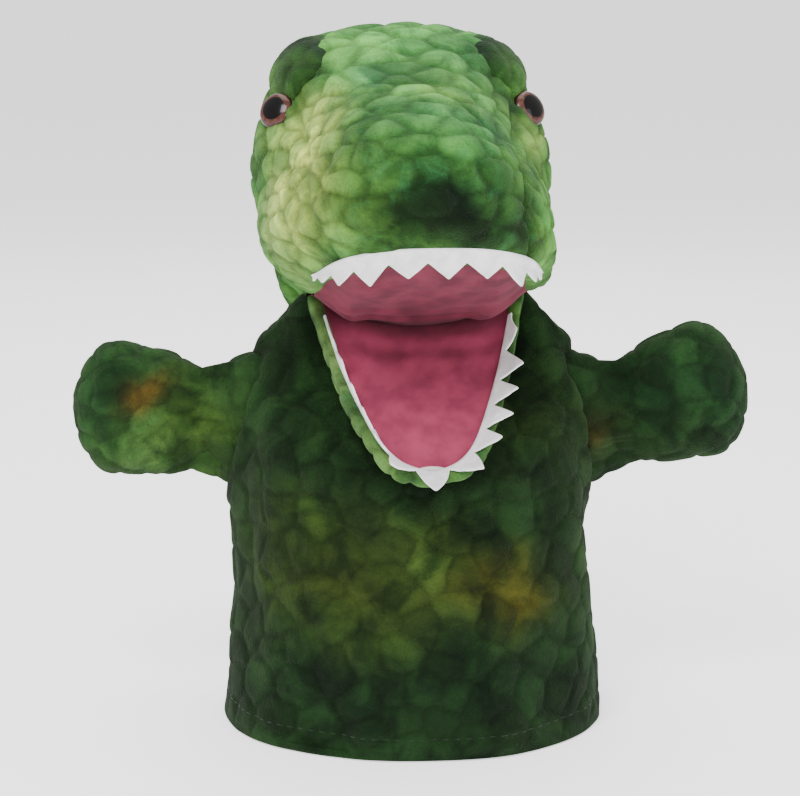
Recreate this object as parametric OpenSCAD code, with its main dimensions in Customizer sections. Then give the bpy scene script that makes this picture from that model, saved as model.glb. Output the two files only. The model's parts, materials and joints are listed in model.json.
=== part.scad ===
// Moving-mouth hand puppet: a plush dinosaur glove with a hinged mouth.
// It faces -Y with +Z up. The origin is the centre of the hand opening, on the hem's lower face.
// "left" and "right" are the puppet's own: its left is +X. Millimetres and degrees throughout.

/* [Sleeve] */
// Half width of the hand opening at the hem
hem_half_w = 72.5; // [66:1:76]
// Half depth of the hand opening at the hem
hem_half_d = 68; // [60:1:70]
// Height of the folded hem band
hem_h = 9; // [6:1:14]
// Thickness of the folded hem band
hem_t = 4.5; // [3.5:0.1:5]
// Thickness of the plush cloth with its pile
plush_t = 2.2; // [1.6:0.1:2.6]
// Thickness of the thin lining cloth
lining_t = 0.7; // [0.5:0.1:0.9]

/* [Head] */
// How far the head is turned to its left at rest
head_yaw = 5; // [0:1:10]
// How far the top of the head lies towards its right at rest
head_shift = 6; // [0:0.5:8]
// Height of the mouth crease above the hem
crease_z = 152; // [150:1:154]
// Distance of the mouth crease in front of the sleeve's axis
crease_y = 22; // [20:1:24]
// Upward slope of the roof of the mouth at rest
roof_tilt = 25; // [22:1:28]
// Reach of the roof of the mouth from the crease to the front lip
roof_reach = 78; // [74:1:80]
// Half width of the mouth at the crease
mouth_half_w = 41; // [39:1:43]

/* [Jaw] */
// Downward slope of the lower jaw at rest
jaw_drop = 37; // [34:1:40]
// Length of the lower jaw from the crease to its tip
jaw_len = 75; // [68:1:80]
// Half width of the jaw just behind its rounded tip
jaw_tip_half_w = 14; // [12:1:16]
// Depth of the jaw where the thumb goes in
jaw_depth = 21; // [18:1:24]

/* [Arms] */
// Distance from the sleeve's axis to the tip of an arm
arm_reach = 128; // [122:1:134]
// Half height of an arm at its widest
arm_half_h = 25.5; // [22:0.5:27]
// Half thickness of an arm at its widest
arm_half_t = 15; // [12:0.5:17]
// Height of the arms' middle line at the shoulder
arm_z = 113; // [110:1:116]
// Upward slope of the left arm at rest
left_lift = 13; // [0:1:16]
// Upward slope of the right arm at rest
right_lift = 4; // [0:1:16]

/* [Face] */
// Radius of an eye
eye_r = 5.8; // [5:0.1:6.5]
// Height of a tooth
tooth_h = 7; // [5:0.5:8]

/* [Hidden] */
$fn = 48;

gap = 0.4;          // clearance between soft pieces of one body
fill_gap = 1.2;     // clearance between a filling and the skin round it
felt_t = 1.2;       // thickness of the felt teeth
board_t = 1.6;      // thickness of the mouth boards
roof_gap = 0.3;     // the mouth linings stay this far from the closing planes
rim_front = 100;    // height of the sleeve's upper edge at the throat
rim_back = 138;     // height of the sleeve's upper edge at the nape
rim_side = 128;     // height of the sleeve's upper edge at the sides
seam_gap = 0.5;     // half the angle left open at a side seam
swing_x = 65;       // upright axis of each shoulder
lift_x = 75;        // level axis of each shoulder
arm_y = -3;         // middle plane of the arms
elbow_x = 82;       // where the stuffed arms start
skin_end = 150;     // angle round the crease where the head's skin ends at the nape

plush_green = [0.16, 0.30, 0.14];
head_green = [0.40, 0.58, 0.34];
brow_green = [0.07, 0.20, 0.12];
mouth_pink = [0.68, 0.28, 0.38];
felt_white = [0.90, 0.89, 0.90];
lining_black = [0.10, 0.14, 0.10];
fill_white = [0.93, 0.93, 0.90];
board_grey = [0.62, 0.62, 0.60];
eye_brown = [0.22, 0.12, 0.08];

// ---- tables: [station, value, ...], joined by a smooth curve ----
// height, half width, half depth and middle (y) of the sleeve
sleeve_table = [[0, hem_half_w, hem_half_d, 0], [25, hem_half_w - 2, hem_half_d - 3, 0],
                [60, 67, 57, -1], [90, 66, 51, -2], [105, 64, 48, -3], [120, 61.5, 45, -4],
                [131, 59.5, 41, -2], [141, 55, 38, 0], [152, 46, 35, 0]];
// angle round the crease from the roof of the mouth, then reach, half width and squareness of the head
head_table = [[0, roof_reach, 42, 2.9], [7, 91, 48, 2.9], [19, 100, 52, 2.6], [32, 100, 53, 2.4],
              [44, 97, 53, 2.5], [56, 99, 53, 3.1], [68, 105, 53, 4.3], [80, 109, 52, 4.3],
              [94, 106, 51, 3.7], [110, 91, 49, 3.0], [128, 74, 47, 2.6], [144, 62, 45, 2.4],
              [156, 57, 43, 2.4]];
// angle and reach of the hollow that the hand fills inside the head
hand_table = [[0, 66], [14, 71], [30, 63], [54, 52], [84, 47], [156, 44]];
// share of an arm's length, then share of its half height and half thickness
arm_table = [[0, 0.80, 0.55], [0.18, 0.93, 0.82], [0.45, 0.98, 1.0], [0.68, 1.0, 1.0],
             [0.82, 0.84, 0.84], [0.94, 0.48, 0.52], [1, 0.05, 0.06]];

// ---- helpers ----
function span(t, x, i = 0) = (i >= len(t) - 2 || x < t[i + 1][0]) ? i : span(t, x, i + 1);
function slope(t, i, k) =
    let (a = max(i - 1, 0), b = min(i + 1, len(t) - 1)) (t[b][k] - t[a][k]) / (t[b][0] - t[a][0]);
// Smooth curve through column k of a table
function at(t, x, k = 1) =
    let (i = span(t, x), h = t[i + 1][0] - t[i][0], u = min(max((x - t[i][0]) / h, 0), 1))
    (2 * u^3 - 3 * u^2 + 1) * t[i][k] + (u^3 - 2 * u^2 + u) * h * slope(t, i, k)
    + (3 * u^2 - 2 * u^3) * t[i + 1][k] + (u^3 - u^2) * h * slope(t, i + 1, k);
function sup(c, n) = sign(c) * pow(abs(c), 2 / n);
function mix(a, b, u) = a + (b - a) * u;
function unit(v) = v / max(norm(v), 1e-9);
function bump(p, c, r) = exp(-pow(norm(p - c) / r, 2));
function steps(a, b, n) = [for (i = [0:n]) mix(a, b, i / n)];
function turn_x(p, a) = [p[0], p[1] * cos(a) - p[2] * sin(a), p[1] * sin(a) + p[2] * cos(a)];
function turn_z(p, a) = [p[0] * cos(a) - p[1] * sin(a), p[0] * sin(a) + p[1] * cos(a), p[2]];
function flip_x(g) = [for (r = g) [for (p = r) [-p[0], p[1], p[2]]]];
// A grid of points moved along its own normals by d
function offset_grid(g, d) =
    let (n = len(g) - 1, m = len(g[0]) - 1)
    [for (i = [0:n]) [for (j = [0:m])
        let (du = g[min(i + 1, n)][j] - g[max(i - 1, 0)][j], dv = g[i][min(j + 1, m)] - g[i][max(j - 1, 0)])
        g[i][j] + unit(cross(dv, du)) * d]];

// The closed solid between two grids of the same size; a is on the side that offset_grid moves towards
module shell(a, b) {
    n = len(a);
    m = len(a[0]);
    function ia(i, j) = i * m + j;
    function ib(i, j) = n * m + i * m + j;
    function quad(p, q, r, s) = [[p, q, r], [p, r, s]];
    outer = [for (i = [0:n - 2]) for (j = [0:m - 2])
             each quad(ia(i, j), ia(i + 1, j), ia(i + 1, j + 1), ia(i, j + 1))];
    inner = [for (i = [0:n - 2]) for (j = [0:m - 2])
             each quad(ib(i, j + 1), ib(i + 1, j + 1), ib(i + 1, j), ib(i, j))];
    ends = [for (j = [0:m - 2]) each concat(
            quad(ia(0, j), ia(0, j + 1), ib(0, j + 1), ib(0, j)),
            quad(ia(n - 1, j + 1), ia(n - 1, j), ib(n - 1, j), ib(n - 1, j + 1)))];
    sides = [for (i = [0:n - 2]) each concat(
             quad(ia(i + 1, 0), ia(i, 0), ib(i, 0), ib(i + 1, 0)),
             quad(ia(i, m - 1), ia(i + 1, m - 1), ib(i + 1, m - 1), ib(i, m - 1)))];
    polyhedron([for (r = a) each r, for (r = b) each r], concat(outer, inner, ends, sides));
}
// The closed solid through a row of rings, with flat ends
module loft(rings) {
    n = len(rings);
    m = len(rings[0]);
    walls = [for (i = [0:n - 2]) for (j = [0:m - 1])
             let (k = (j + 1) % m, p = i * m + j, q = i * m + k, r = (i + 1) * m + k, s = (i + 1) * m + j)
             each [[p, s, r], [p, r, q]]];
    first = [for (j = [0:m - 1]) j];
    last = [for (j = [m - 1:-1:0]) (n - 1) * m + j];
    polyhedron([for (r = rings) each r], concat(walls, [first, last]));
}

// ---- sleeve ----
function sleeve_pt(a, z) = [at(sleeve_table, z, 1) * sup(cos(a), 2.2),
                            at(sleeve_table, z, 3) + at(sleeve_table, z, 2) * sup(sin(a), 2.2), z];
function rim_z(a) = let (mid = (rim_back + rim_front) / 2)
    mid + (rim_back - mid) * sin(a) + (rim_side - mid) * pow(cos(a), 2);
function sleeve_grid(a0, a1, z0, nz, na) =
    [for (v = steps(0, 1, nz)) [for (a = steps(a0, a1, na)) sleeve_pt(a, mix(z0, rim_z(a), v))]];
module sleeve_layer(a0, a1, z0, depth, thick, nz, na) {
    g = sleeve_grid(a0 + seam_gap, a1 - seam_gap, z0, nz, na);
    shell(offset_grid(g, -depth), offset_grid(g, -depth - thick));
}
module body_front_panel() color(plush_green) sleeve_layer(180, 360, hem_h + 0.5, 0, plush_t, 13, 20);
module body_back_panel() color(plush_green) sleeve_layer(0, 180, hem_h + 0.5, 0, plush_t, 13, 20);
module lining_front_panel() color(lining_black)
    sleeve_layer(180, 360, hem_h + 0.8, plush_t + gap, lining_t, 9, 16);
module lining_back_panel() color(lining_black)
    sleeve_layer(0, 180, hem_h + 0.8, plush_t + gap, lining_t, 9, 16);

module hem_oval(inset) polygon([for (a = [0:7.5:359]) let (p = sleeve_pt(a, 0))
    [p[0] * (1 - inset / hem_half_w), p[1] * (1 - inset / hem_half_d)]]);
module hem_band() color(plush_green) linear_extrude(hem_h) difference() {
    hem_oval(0);
    hem_oval(hem_t);
}
// A blank folded tab, sewn inside the back of the sleeve
module care_label() color(felt_white)
    translate([-12, hem_half_d - plush_t - lining_t - 6, hem_h + 4]) rotate([6, 0, 0]) cube([24, 0.6, 30]);

// ---- neck: cloth that changes shape between the sleeve, the head and the jaw ----
function neck_top(a) =
    let (s = sin(a), low = max(0, -s), back = max(0, s))
    turn_z([41 * sup(cos(a), 2.2) - head_shift * back, mix(2, -12, low) + (s < 0 ? 6 : 28) * sup(s, 2.2),
            152 - 28 * pow(low, 1.5) + 5 * back], head_yaw);
function neck_grid(a0, a1) =
    [for (v = steps(0, 1, 6)) [for (a = steps(a0 + 2 * seam_gap, a1 - 2 * seam_gap, 18))
        let (low = sleeve_pt(a, rim_z(a) + 0.8), high = neck_top(a), u = pow(v, 2.2))
        [mix(low[0], high[0], u), mix(low[1], high[1], u), mix(low[2], high[2], v)]]];
module neck_layer(a0, a1) {
    g = neck_grid(a0, a1);
    shell(g, offset_grid(g, -plush_t));
}
module throat_gusset() color(plush_green) neck_layer(180, 360);
module nape_gusset() color(plush_green) neck_layer(0, 180);

// ---- head: every curve goes from one mouth corner round to the other, at an angle about the crease ----
module at_crease() rotate([0, 0, head_yaw]) translate([0, -crease_y, crease_z]) children();
module in_head() at_crease() rotate([-roof_tilt, 0, 0]) children();
module in_jaw() at_crease() rotate([jaw_drop, 0, 0]) children();

// In the head's own frame: -Y along the roof of the mouth, +Z up from it, origin at the crease
function head_base(a, t) =
    let (r = at(head_table, a, 1), w = at(head_table, a, 2), n = at(head_table, a, 3),
         s = sup(sin(t), n), wide = mix(mouth_half_w, w, min(1, 2.2 * s)))
    [wide * sup(cos(t), n) - head_shift * lean_at(r * s * sin(a) / 18), -r * s * cos(a), r * s * sin(a)];
function lean_at(u) = let (v = min(1, max(0, u))) v * v * (3 - 2 * v);
nostril = [15, -88, 35];
socket = [47, -31, 72];
cheek = [48, -36, 24];
function mirrored_bump(p, c, r) = bump(p, c, r) + bump(p, [-c[0], c[1], c[2]], r);
function head_pt(a, t) =
    let (p = head_base(a, t), q = p + [head_shift * lean_at(p[2] / 18), 0, 0], out = unit([q[0], p[1] + 20, p[2] - 25]))
    p + out * (2.5 * mirrored_bump(q, nostril, 11) - 3.5 * mirrored_bump(q, socket, 11)
               + 2.5 * mirrored_bump(q, cheek, 20));
function head_grid(a0, a1, na, t0, t1, nt) =
    [for (a = steps(a0, a1, na)) [for (t = steps(t0, t1, nt)) head_pt(a, t)]];
function hollow_grid(a0, a1, na, t0, t1, nt) =
    [for (a = steps(a0, a1, na)) [for (t = steps(t0, t1, nt))
        let (s = sup(sin(t), 3)) [35 * sup(cos(t), 3), -at(hand_table, a) * s * cos(a), at(hand_table, a) * s * sin(a)]]];
module head_layer(t0, t1, na, nt) in_head() {
    g = head_grid(0.5, skin_end, na, t0, t1, nt);
    shell(offset_grid(g, plush_t), g);
}
crown_edge = 50;
module crown_panel() color(head_green) head_layer(crown_edge + 0.3, 180 - crown_edge - 0.3, 24, 12);
module left_cheek_panel() color(head_green) head_layer(0.6, crown_edge - 0.3, 24, 10);
module right_cheek_panel() color(head_green) head_layer(180 - crown_edge + 0.3, 179.4, 24, 10);
module head_filling() color(fill_white) in_head() {
    g = head_grid(3.5, 142, 18, 14, 166, 16);
    shell(hollow_grid(3.5, 142, 18, 14, 166, 16), offset_grid(g, plush_t + fill_gap));
}

// A flat outline of a jaw, from corner to corner round the front
function roof_outline(inset) =
    [for (t = [0:6:180]) [(mouth_half_w + 1 - inset) * sup(cos(t), 2.9), -(roof_reach - inset) * sup(sin(t), 2.9)]];
function jaw_w(s) = mix(mouth_half_w - 1, jaw_tip_half_w, s / jaw_len) * sqrt(max(0, 1 - pow(s / jaw_len, 9)));
jaw_steps = [0, 0.08, 0.2, 0.32, 0.44, 0.56, 0.68, 0.78, 0.86, 0.92, 0.96, 0.985, 1];
function jaw_outline(inset) =
    let (side = [for (s = jaw_steps) [max(0.01, jaw_w(s * jaw_len) - inset), -s * (jaw_len - inset)]])
    concat(side, [for (i = [len(side) - 1:-1:0]) [-side[i][0], side[i][1]]]);
module front_of(y) translate([-100, -200 - y, -50]) cube([200, 200, 100]);

module upper_mouth_lining() color(mouth_pink) in_head() translate([0, 0, roof_gap])
    linear_extrude(lining_t) intersection() {
        polygon(roof_outline(plush_t + gap));
        translate([-100, -202]) square([200, 200]);
    }
module upper_mouth_board() color(board_grey) in_head() translate([0, 0, roof_gap + lining_t + 0.2])
    linear_extrude(board_t) intersection() {
        polygon(roof_outline(plush_t + 8));
        translate([-100, -206]) square([200, 200]);
    }
module lower_mouth_lining() color(mouth_pink) in_jaw() translate([0, 0, -roof_gap - lining_t])
    linear_extrude(lining_t) intersection() {
        polygon(jaw_outline(plush_t + fill_gap));
        translate([-100, -202]) square([200, 200]);
    }
module lower_mouth_board() color(board_grey) in_jaw() translate([0, 0, -roof_gap - lining_t - 0.2 - board_t])
    linear_extrude(board_t) intersection() {
        polygon(jaw_outline(plush_t + 4));
        translate([-100, -206]) square([200, 200]);
    }
module mouth_crease_tape() color(mouth_pink) at_crease() rotate([0, 90, 0])
    cylinder(r = 1.4, h = 2 * mouth_half_w - 10, center = true);

// A flat sewn pocket, open towards the crease
module pocket(half_back, half_front, length, height, taper) {
    difference() {
        pocket_block(half_back, half_front, length, height, taper);
        translate([0, 0.01, lining_t])
            pocket_block(half_back - lining_t, half_front - lining_t, length - lining_t, height - 2 * lining_t, taper);
    }
}
module pocket_block(half_back, half_front, length, height, taper)
    intersection() {
        linear_extrude(height) polygon([[-half_back, 0], [half_back, 0], [half_front, -length], [-half_front, -length]]);
        rotate([0, 90, 0]) linear_extrude(4 * half_back, center = true)
            polygon([[0, 0], [-height, 0], [-height + taper, -length], [0, -length]]);
    }
roof_stack = roof_gap + lining_t + 0.2 + board_t + 0.2;
module finger_pocket() color(lining_black) in_head() translate([0, -10, roof_stack]) pocket(31, 24, 48, 21, 4);
thumb_start = 8;
thumb_len = 40;
module thumb_pocket() color(lining_black) in_jaw() mirror([0, 0, 1]) translate([0, -thumb_start, roof_stack])
    pocket(14, 9, thumb_len, 11.5, 6);

// ---- jaw ----
function jaw_d(s) = mix(jaw_depth, 9, pow(s / jaw_len, 1.3)) * sqrt(max(0.02, 1 - pow(s / jaw_len, 7)));
function jaw_grid(s0, s1, ns, t0, t1, nt) =
    [for (s = steps(s0, s1, ns)) [for (t = steps(t0, t1, nt))
        [max(0.6, jaw_w(s)) * sup(cos(t), 2.6), -s, -jaw_d(s) * sup(sin(t), 2.6)]]];
module jaw_panel() color(head_green) in_jaw() {
    g = jaw_grid(3, jaw_len - 0.3, 14, 2, 178, 16);
    shell(offset_grid(g, plush_t), g);
}
// The hollow that the thumb pocket lies in; ahead of the pocket it narrows to a slit
function thumb_pt(s, t) = let (u = (s - thumb_start) / thumb_len, ahead = u > 1.1)
    [(ahead ? 1 : mix(17, 12, u)) * sup(cos(t), 8), -s,
     -max(roof_stack, (ahead ? 4 : roof_stack + mix(13, 6.6, u)) * sup(sin(t), 8))];
module jaw_filling() color(fill_white) in_jaw() {
    hollow = [for (s = steps(6, jaw_len - 3, 12)) [for (t = steps(0, 180, 16)) thumb_pt(s, t)]];
    skin = offset_grid(jaw_grid(6, jaw_len - 3, 12, 0, 180, 16), plush_t + fill_gap - 0.4);
    shell(hollow, [for (r = skin) [for (p = r) [p[0], p[1], min(p[2], -roof_stack)]]]);
}

// ---- teeth: a felt zigzag sewn along each lip ----
function edge_point(outline, u) =
    let (n = len(outline) - 1, i = min(floor(u * n), n - 1)) mix(outline[i], outline[i + 1], u * n - i);
// Points along a lip at equal steps, each with its outward direction
function lip(curve, n) = [for (i = [0:n]) let (
    u = i / n, p = edge_point(curve, u), q = edge_point(curve, min(1, u + 0.01)), o = edge_point(curve, max(0, u - 0.01)),
    d = unit([q[0] - o[0], q[1] - o[1]])) [p, [-d[1], d[0]]]];
// tips: for each point, the height and outward lean of the felt there
module felt_zigzag(points, root, tips) {
    function spot(k, out, up) = let (p = points[k]) [p[0][0] + p[1][0] * out, p[0][1] + p[1][1] * out, up];
    rows = [for (k = [0:len(points) - 1]) [spot(k, 0, -root), spot(k, tips[k][1], tips[k][0])]];
    back = [for (k = [0:len(points) - 1]) [spot(k, felt_t, -root), spot(k, tips[k][1] + felt_t, tips[k][0])]];
    shell(back, rows);
}
upper_lip = [for (t = steps(16, 164, 60)) [(mouth_half_w + 1.6) * sup(cos(t), 2.9), -(roof_reach + 0.6) * sup(sin(t), 2.9)]];
lower_lip = concat(
    [for (s = steps(0.14, 0.985, 30)) [jaw_w(s * jaw_len) + 0.5, -s * jaw_len]],
    [for (s = steps(0.985, 0.14, 30)) [-jaw_w(s * jaw_len) - 0.5, -s * jaw_len]]);
upper_n = 30;
lower_n = 28;
function peak(k) = k % 2 == 0 ? 0.2 : 1;
// The lower teeth lean outward, more on the left side, and grow away from the mouth's corners
function lower_tip(k, p) = let (
    lean = mix(0.9, 0.45, k / lower_n), tall = tooth_h / sqrt(1 + lean * lean),
    room = max(0.5, 0.21 * -p[0][1] - 1), up = peak(k) * min(tall, room)) [up, lean * up];
module upper_teeth() color(felt_white) in_head() mirror([0, 0, 1])
    felt_zigzag(lip(upper_lip, upper_n), -0.4,
        [for (k = [0:upper_n]) let (up = tooth_h * peak(k) * (k < 2 || k > upper_n - 2 ? 0.6 : 1)) [up, 0.15 * up]]);
module lower_teeth() color(felt_white) in_jaw() {
    points = lip(lower_lip, lower_n);
    felt_zigzag(points, -0.4, [for (k = [0:lower_n]) lower_tip(k, points[k])]);
}

// ---- face ----
eye_a = 68;
eye_t = 36;
// The eyes look further forward than the cloth around them faces
function eye_out(t) = unit(cross(head_pt(eye_a + 2, t) - head_pt(eye_a - 2, t), head_pt(eye_a, t + 2) - head_pt(eye_a, t - 2)));
module look(d) rotate([0, acos(d[2]), atan2(d[1], d[0])]) children();
module on_eyes(t) in_head() translate(head_pt(eye_a, t) + eye_out(t) * 1.4)
    look(unit(eye_out(t) + [0, -0.75, 0])) children();
module eye() {
    rotate_extrude() intersection() {
        translate([0, -2]) circle(r = eye_r + 0.3);
        translate([0, 0]) square([eye_r + 1, eye_r]);
    }
    translate([0, 0, -10]) cylinder(r = 1.6, h = 10.2);
}
module washer() translate([0, 0, -9]) difference() {
    cylinder(r = 4.5, h = 1.2);
    translate([0, 0, -1]) cylinder(r = 1.7, h = 4);
}
module left_eye() color(eye_brown) on_eyes(eye_t) eye();
module right_eye() color(eye_brown) on_eyes(180 - eye_t) eye();
module left_eye_washer() color(felt_white) on_eyes(eye_t) washer();
module right_eye_washer() color(felt_white) on_eyes(180 - eye_t) washer();

brow_a = [50, 86];
brow_t = [45, 65];
function brow_swell(u, v) = 1.2 + 6 * pow(max(0, sin(180 * u) * sin(180 * pow(v, 0.7))), 0.7);
// t0 is the brow's lower edge and t1 its upper edge
module brow(t0, t1) {
    n = 10;
    angles = steps(brow_a[0], brow_a[1], n);
    tilts = steps(min(t0, t1), max(t0, t1), n);
    g = [for (a = angles) [for (t = tilts) head_pt(a, t)]];
    low = offset_grid(g, -gap);
    high = [for (i = [0:n]) [for (j = [0:n])
            g[i][j] + unit(low[i][j] - g[i][j]) * (gap + brow_swell(i / n, (t0 < t1 ? j : n - j) / n))]];
    shell(low, high);
}
module left_brow() color(brow_green) in_head() brow(brow_t[0], brow_t[1]);
module right_brow() color(brow_green) in_head() brow(180 - brow_t[0], 180 - brow_t[1]);

// ---- arms ----
// In an arm's own frame: +X along the arm from the shoulder, z across its height, y across its thickness
function arm_pt(u, a) =
    let (h = arm_half_h * at(arm_table, u, 1), b = arm_half_t * at(arm_table, u, 2))
    [mix(elbow_x, arm_reach, u), b * sup(cos(a), 2.1), h * sup(sin(a), 2.3) + 2.5 * u];
function raised(p, lift) = [swing_x + (p[0] - swing_x) * cos(lift) - p[2] * sin(lift), p[1] + arm_y,
                            arm_z + (p[0] - swing_x) * sin(lift) + p[2] * cos(lift)];
function arm_grid(a0, a1, lift) = [for (u = steps(0, 1, 12)) [for (a = steps(a0, a1, 12)) raised(arm_pt(u, a), lift)]];
// A point of the armhole, lying just outside the sleeve
function armhole(a, lift) =
    let (y = 13 * sup(cos(a), 2.1) + arm_y, z = arm_z + 27 * sup(sin(a), 2.3),
         w = at(sleeve_table, z, 1), d = at(sleeve_table, z, 2), m = at(sleeve_table, z, 3))
    [w * pow(1 - pow(abs(y - m) / d, 2.2), 1 / 2.2) + 3.2, y, z];
function shoulder_pt(u, a, lift) =
    let (low = armhole(a, lift), high = raised(arm_pt(0, a) - [0.5, 0, 0], lift))
    [mix(low[0], high[0], u), mix(low[1], high[1], u), mix(low[2], high[2], u)];
module on_side(side) mirror([side > 0 ? 0 : 1, 0, 0]) children();
module arm_panel(side, lift, a0, a1) color(plush_green) on_side(side) {
    g = arm_grid(a0 + seam_gap, a1 - seam_gap, lift);
    translate([0, a0 < 0 ? 0.35 : -0.35, 0]) shell(g, offset_grid(g, -plush_t));
}
module arm_filling(side, lift) color(fill_white) on_side(side) {
    g = [for (u = steps(0.02, 0.92, 10)) [for (a = [0:15:360]) raised(arm_pt(u, a), lift)]];
    loft([for (r = offset_grid(g, -plush_t - fill_gap)) [for (k = [0:23]) r[k]]]);
}
module shoulder_gusset(side, lift) color(plush_green) on_side(side) {
    g = [for (u = steps(0, 1, 4)) [for (a = steps(-90 + seam_gap, 270 - seam_gap, 26)) shoulder_pt(u, a, lift)]];
    shell(g, offset_grid(g, -plush_t));
}
module left_shoulder_gusset() shoulder_gusset(1, left_lift);
module left_arm_front_panel() arm_panel(1, left_lift, 90, 270);
module left_arm_back_panel() arm_panel(1, left_lift, -90, 90);
module left_arm_filling() arm_filling(1, left_lift);
module right_shoulder_gusset() shoulder_gusset(-1, right_lift);
module right_arm_front_panel() arm_panel(-1, right_lift, 90, 270);
module right_arm_back_panel() arm_panel(-1, right_lift, -90, 90);
module right_arm_filling() arm_filling(-1, right_lift);

body_front_panel();
body_back_panel();
lining_front_panel();
lining_back_panel();
hem_band();
care_label();
throat_gusset();
nape_gusset();
mouth_crease_tape();
crown_panel();
left_cheek_panel();
right_cheek_panel();
head_filling();
finger_pocket();
upper_mouth_board();
upper_mouth_lining();
upper_teeth();
left_eye();
right_eye();
left_eye_washer();
right_eye_washer();
left_brow();
right_brow();
jaw_panel();
jaw_filling();
thumb_pocket();
lower_mouth_board();
lower_mouth_lining();
lower_teeth();
left_shoulder_gusset();
left_arm_front_panel();
left_arm_back_panel();
left_arm_filling();
right_shoulder_gusset();
right_arm_front_panel();
right_arm_back_panel();
right_arm_filling();
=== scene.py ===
import json
import math

import bpy
import numpy as np
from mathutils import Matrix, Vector


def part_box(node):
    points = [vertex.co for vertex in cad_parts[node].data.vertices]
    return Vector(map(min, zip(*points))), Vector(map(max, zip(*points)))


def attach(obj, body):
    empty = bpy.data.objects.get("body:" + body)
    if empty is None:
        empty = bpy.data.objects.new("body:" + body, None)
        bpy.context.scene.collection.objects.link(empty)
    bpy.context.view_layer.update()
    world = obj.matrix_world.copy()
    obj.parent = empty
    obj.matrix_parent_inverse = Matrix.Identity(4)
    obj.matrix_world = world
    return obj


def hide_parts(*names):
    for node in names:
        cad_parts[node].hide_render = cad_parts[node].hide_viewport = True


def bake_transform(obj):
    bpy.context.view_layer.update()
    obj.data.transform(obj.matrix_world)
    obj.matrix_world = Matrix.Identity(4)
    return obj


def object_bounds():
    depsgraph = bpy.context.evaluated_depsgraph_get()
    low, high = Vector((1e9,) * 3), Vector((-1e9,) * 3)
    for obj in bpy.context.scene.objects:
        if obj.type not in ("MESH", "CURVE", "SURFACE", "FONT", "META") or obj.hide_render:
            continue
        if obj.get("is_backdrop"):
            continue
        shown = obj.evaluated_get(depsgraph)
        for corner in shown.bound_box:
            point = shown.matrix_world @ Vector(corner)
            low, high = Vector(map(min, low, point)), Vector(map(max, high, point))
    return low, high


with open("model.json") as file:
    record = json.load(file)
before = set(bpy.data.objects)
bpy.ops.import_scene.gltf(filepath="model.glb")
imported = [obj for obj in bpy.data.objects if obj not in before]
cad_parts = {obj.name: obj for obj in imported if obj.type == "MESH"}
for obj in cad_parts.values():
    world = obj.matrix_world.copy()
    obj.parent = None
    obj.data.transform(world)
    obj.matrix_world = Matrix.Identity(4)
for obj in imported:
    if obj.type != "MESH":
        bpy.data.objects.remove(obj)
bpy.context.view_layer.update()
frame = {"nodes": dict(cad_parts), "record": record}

STEP = 1.0          # spacing of the cloth meshes, mm

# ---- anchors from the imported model, in mm
JOINT = {j["name"]: j for j in frame["record"]["behaviour"]["joints"]}


def box_mm(node):
    lo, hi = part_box(node)
    return np.array(lo) * 1000, np.array(hi) * 1000


HINGE = np.array(JOINT["head_nod"]["pos_m"]) * 1000
AXIS = -np.array(JOINT["head_nod"]["axis"], float)
YAW = math.degrees(math.atan2(AXIS[1], AXIS[0]))
HEM_HI = box_mm("hem_band")[1]
HEM_W, HEM_D = HEM_HI[0], HEM_HI[1]
SWING = JOINT["left_arm_swing"]["pos_m"][0] * 1000
ARM_Z = JOINT["left_arm_swing"]["pos_m"][2] * 1000
ARM_Y = JOINT["left_arm_swing"]["pos_m"][1] * 1000
TILT, DROP = 25.0, 37.0
ROOF, JAW, HALF = 78.0, 75.0, 41.0
SHIFT = 6.0


# ---- maths
def at(table, x, k=1):
    """Smooth curve through column k of a table."""
    t = np.array(table, float)
    xs, ys = t[:, 0], t[:, k]
    n = len(xs)
    sl = np.array([(ys[min(i + 1, n - 1)] - ys[max(i - 1, 0)]) / (xs[min(i + 1, n - 1)] - xs[max(i - 1, 0)])
                   for i in range(n)])
    x = np.asarray(x, float)
    i = np.clip(np.searchsorted(xs, x, side="right") - 1, 0, n - 2)
    h = xs[i + 1] - xs[i]
    u = np.clip((x - xs[i]) / h, 0, 1)
    return ((2 * u**3 - 3 * u**2 + 1) * ys[i] + (u**3 - 2 * u**2 + u) * h * sl[i]
            + (3 * u**2 - 2 * u**3) * ys[i + 1] + (u**3 - u**2) * h * sl[i + 1])


def sup(c, n):
    """Coordinate of a superellipse with the exponent n, from a sine or cosine."""
    return np.sign(c) * np.abs(c) ** (2 / n)


def from_ends(n):
    """Number of steps from each of n points to the nearer end."""
    return np.minimum(np.arange(n), np.arange(n)[::-1])


def smooth(x, a=0.0, b=1.0):
    """A soft step from 0 at a to 1 at b."""
    u = np.clip((np.asarray(x, float) - a) / (b - a), 0, 1)
    return u * u * (3 - 2 * u)


def mix(a, b, u):
    return a + (b - a) * u


def unit(v):
    return v / np.maximum(np.linalg.norm(v, axis=-1, keepdims=True), 1e-9)


def rot_x(p, deg):
    c, s = math.cos(math.radians(deg)), math.sin(math.radians(deg))
    return np.stack([p[..., 0], p[..., 1] * c - p[..., 2] * s, p[..., 1] * s + p[..., 2] * c], -1)


def rot_z(p, deg):
    c, s = math.cos(math.radians(deg)), math.sin(math.radians(deg))
    return np.stack([p[..., 0] * c - p[..., 1] * s, p[..., 0] * s + p[..., 1] * c, p[..., 2]], -1)


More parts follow.
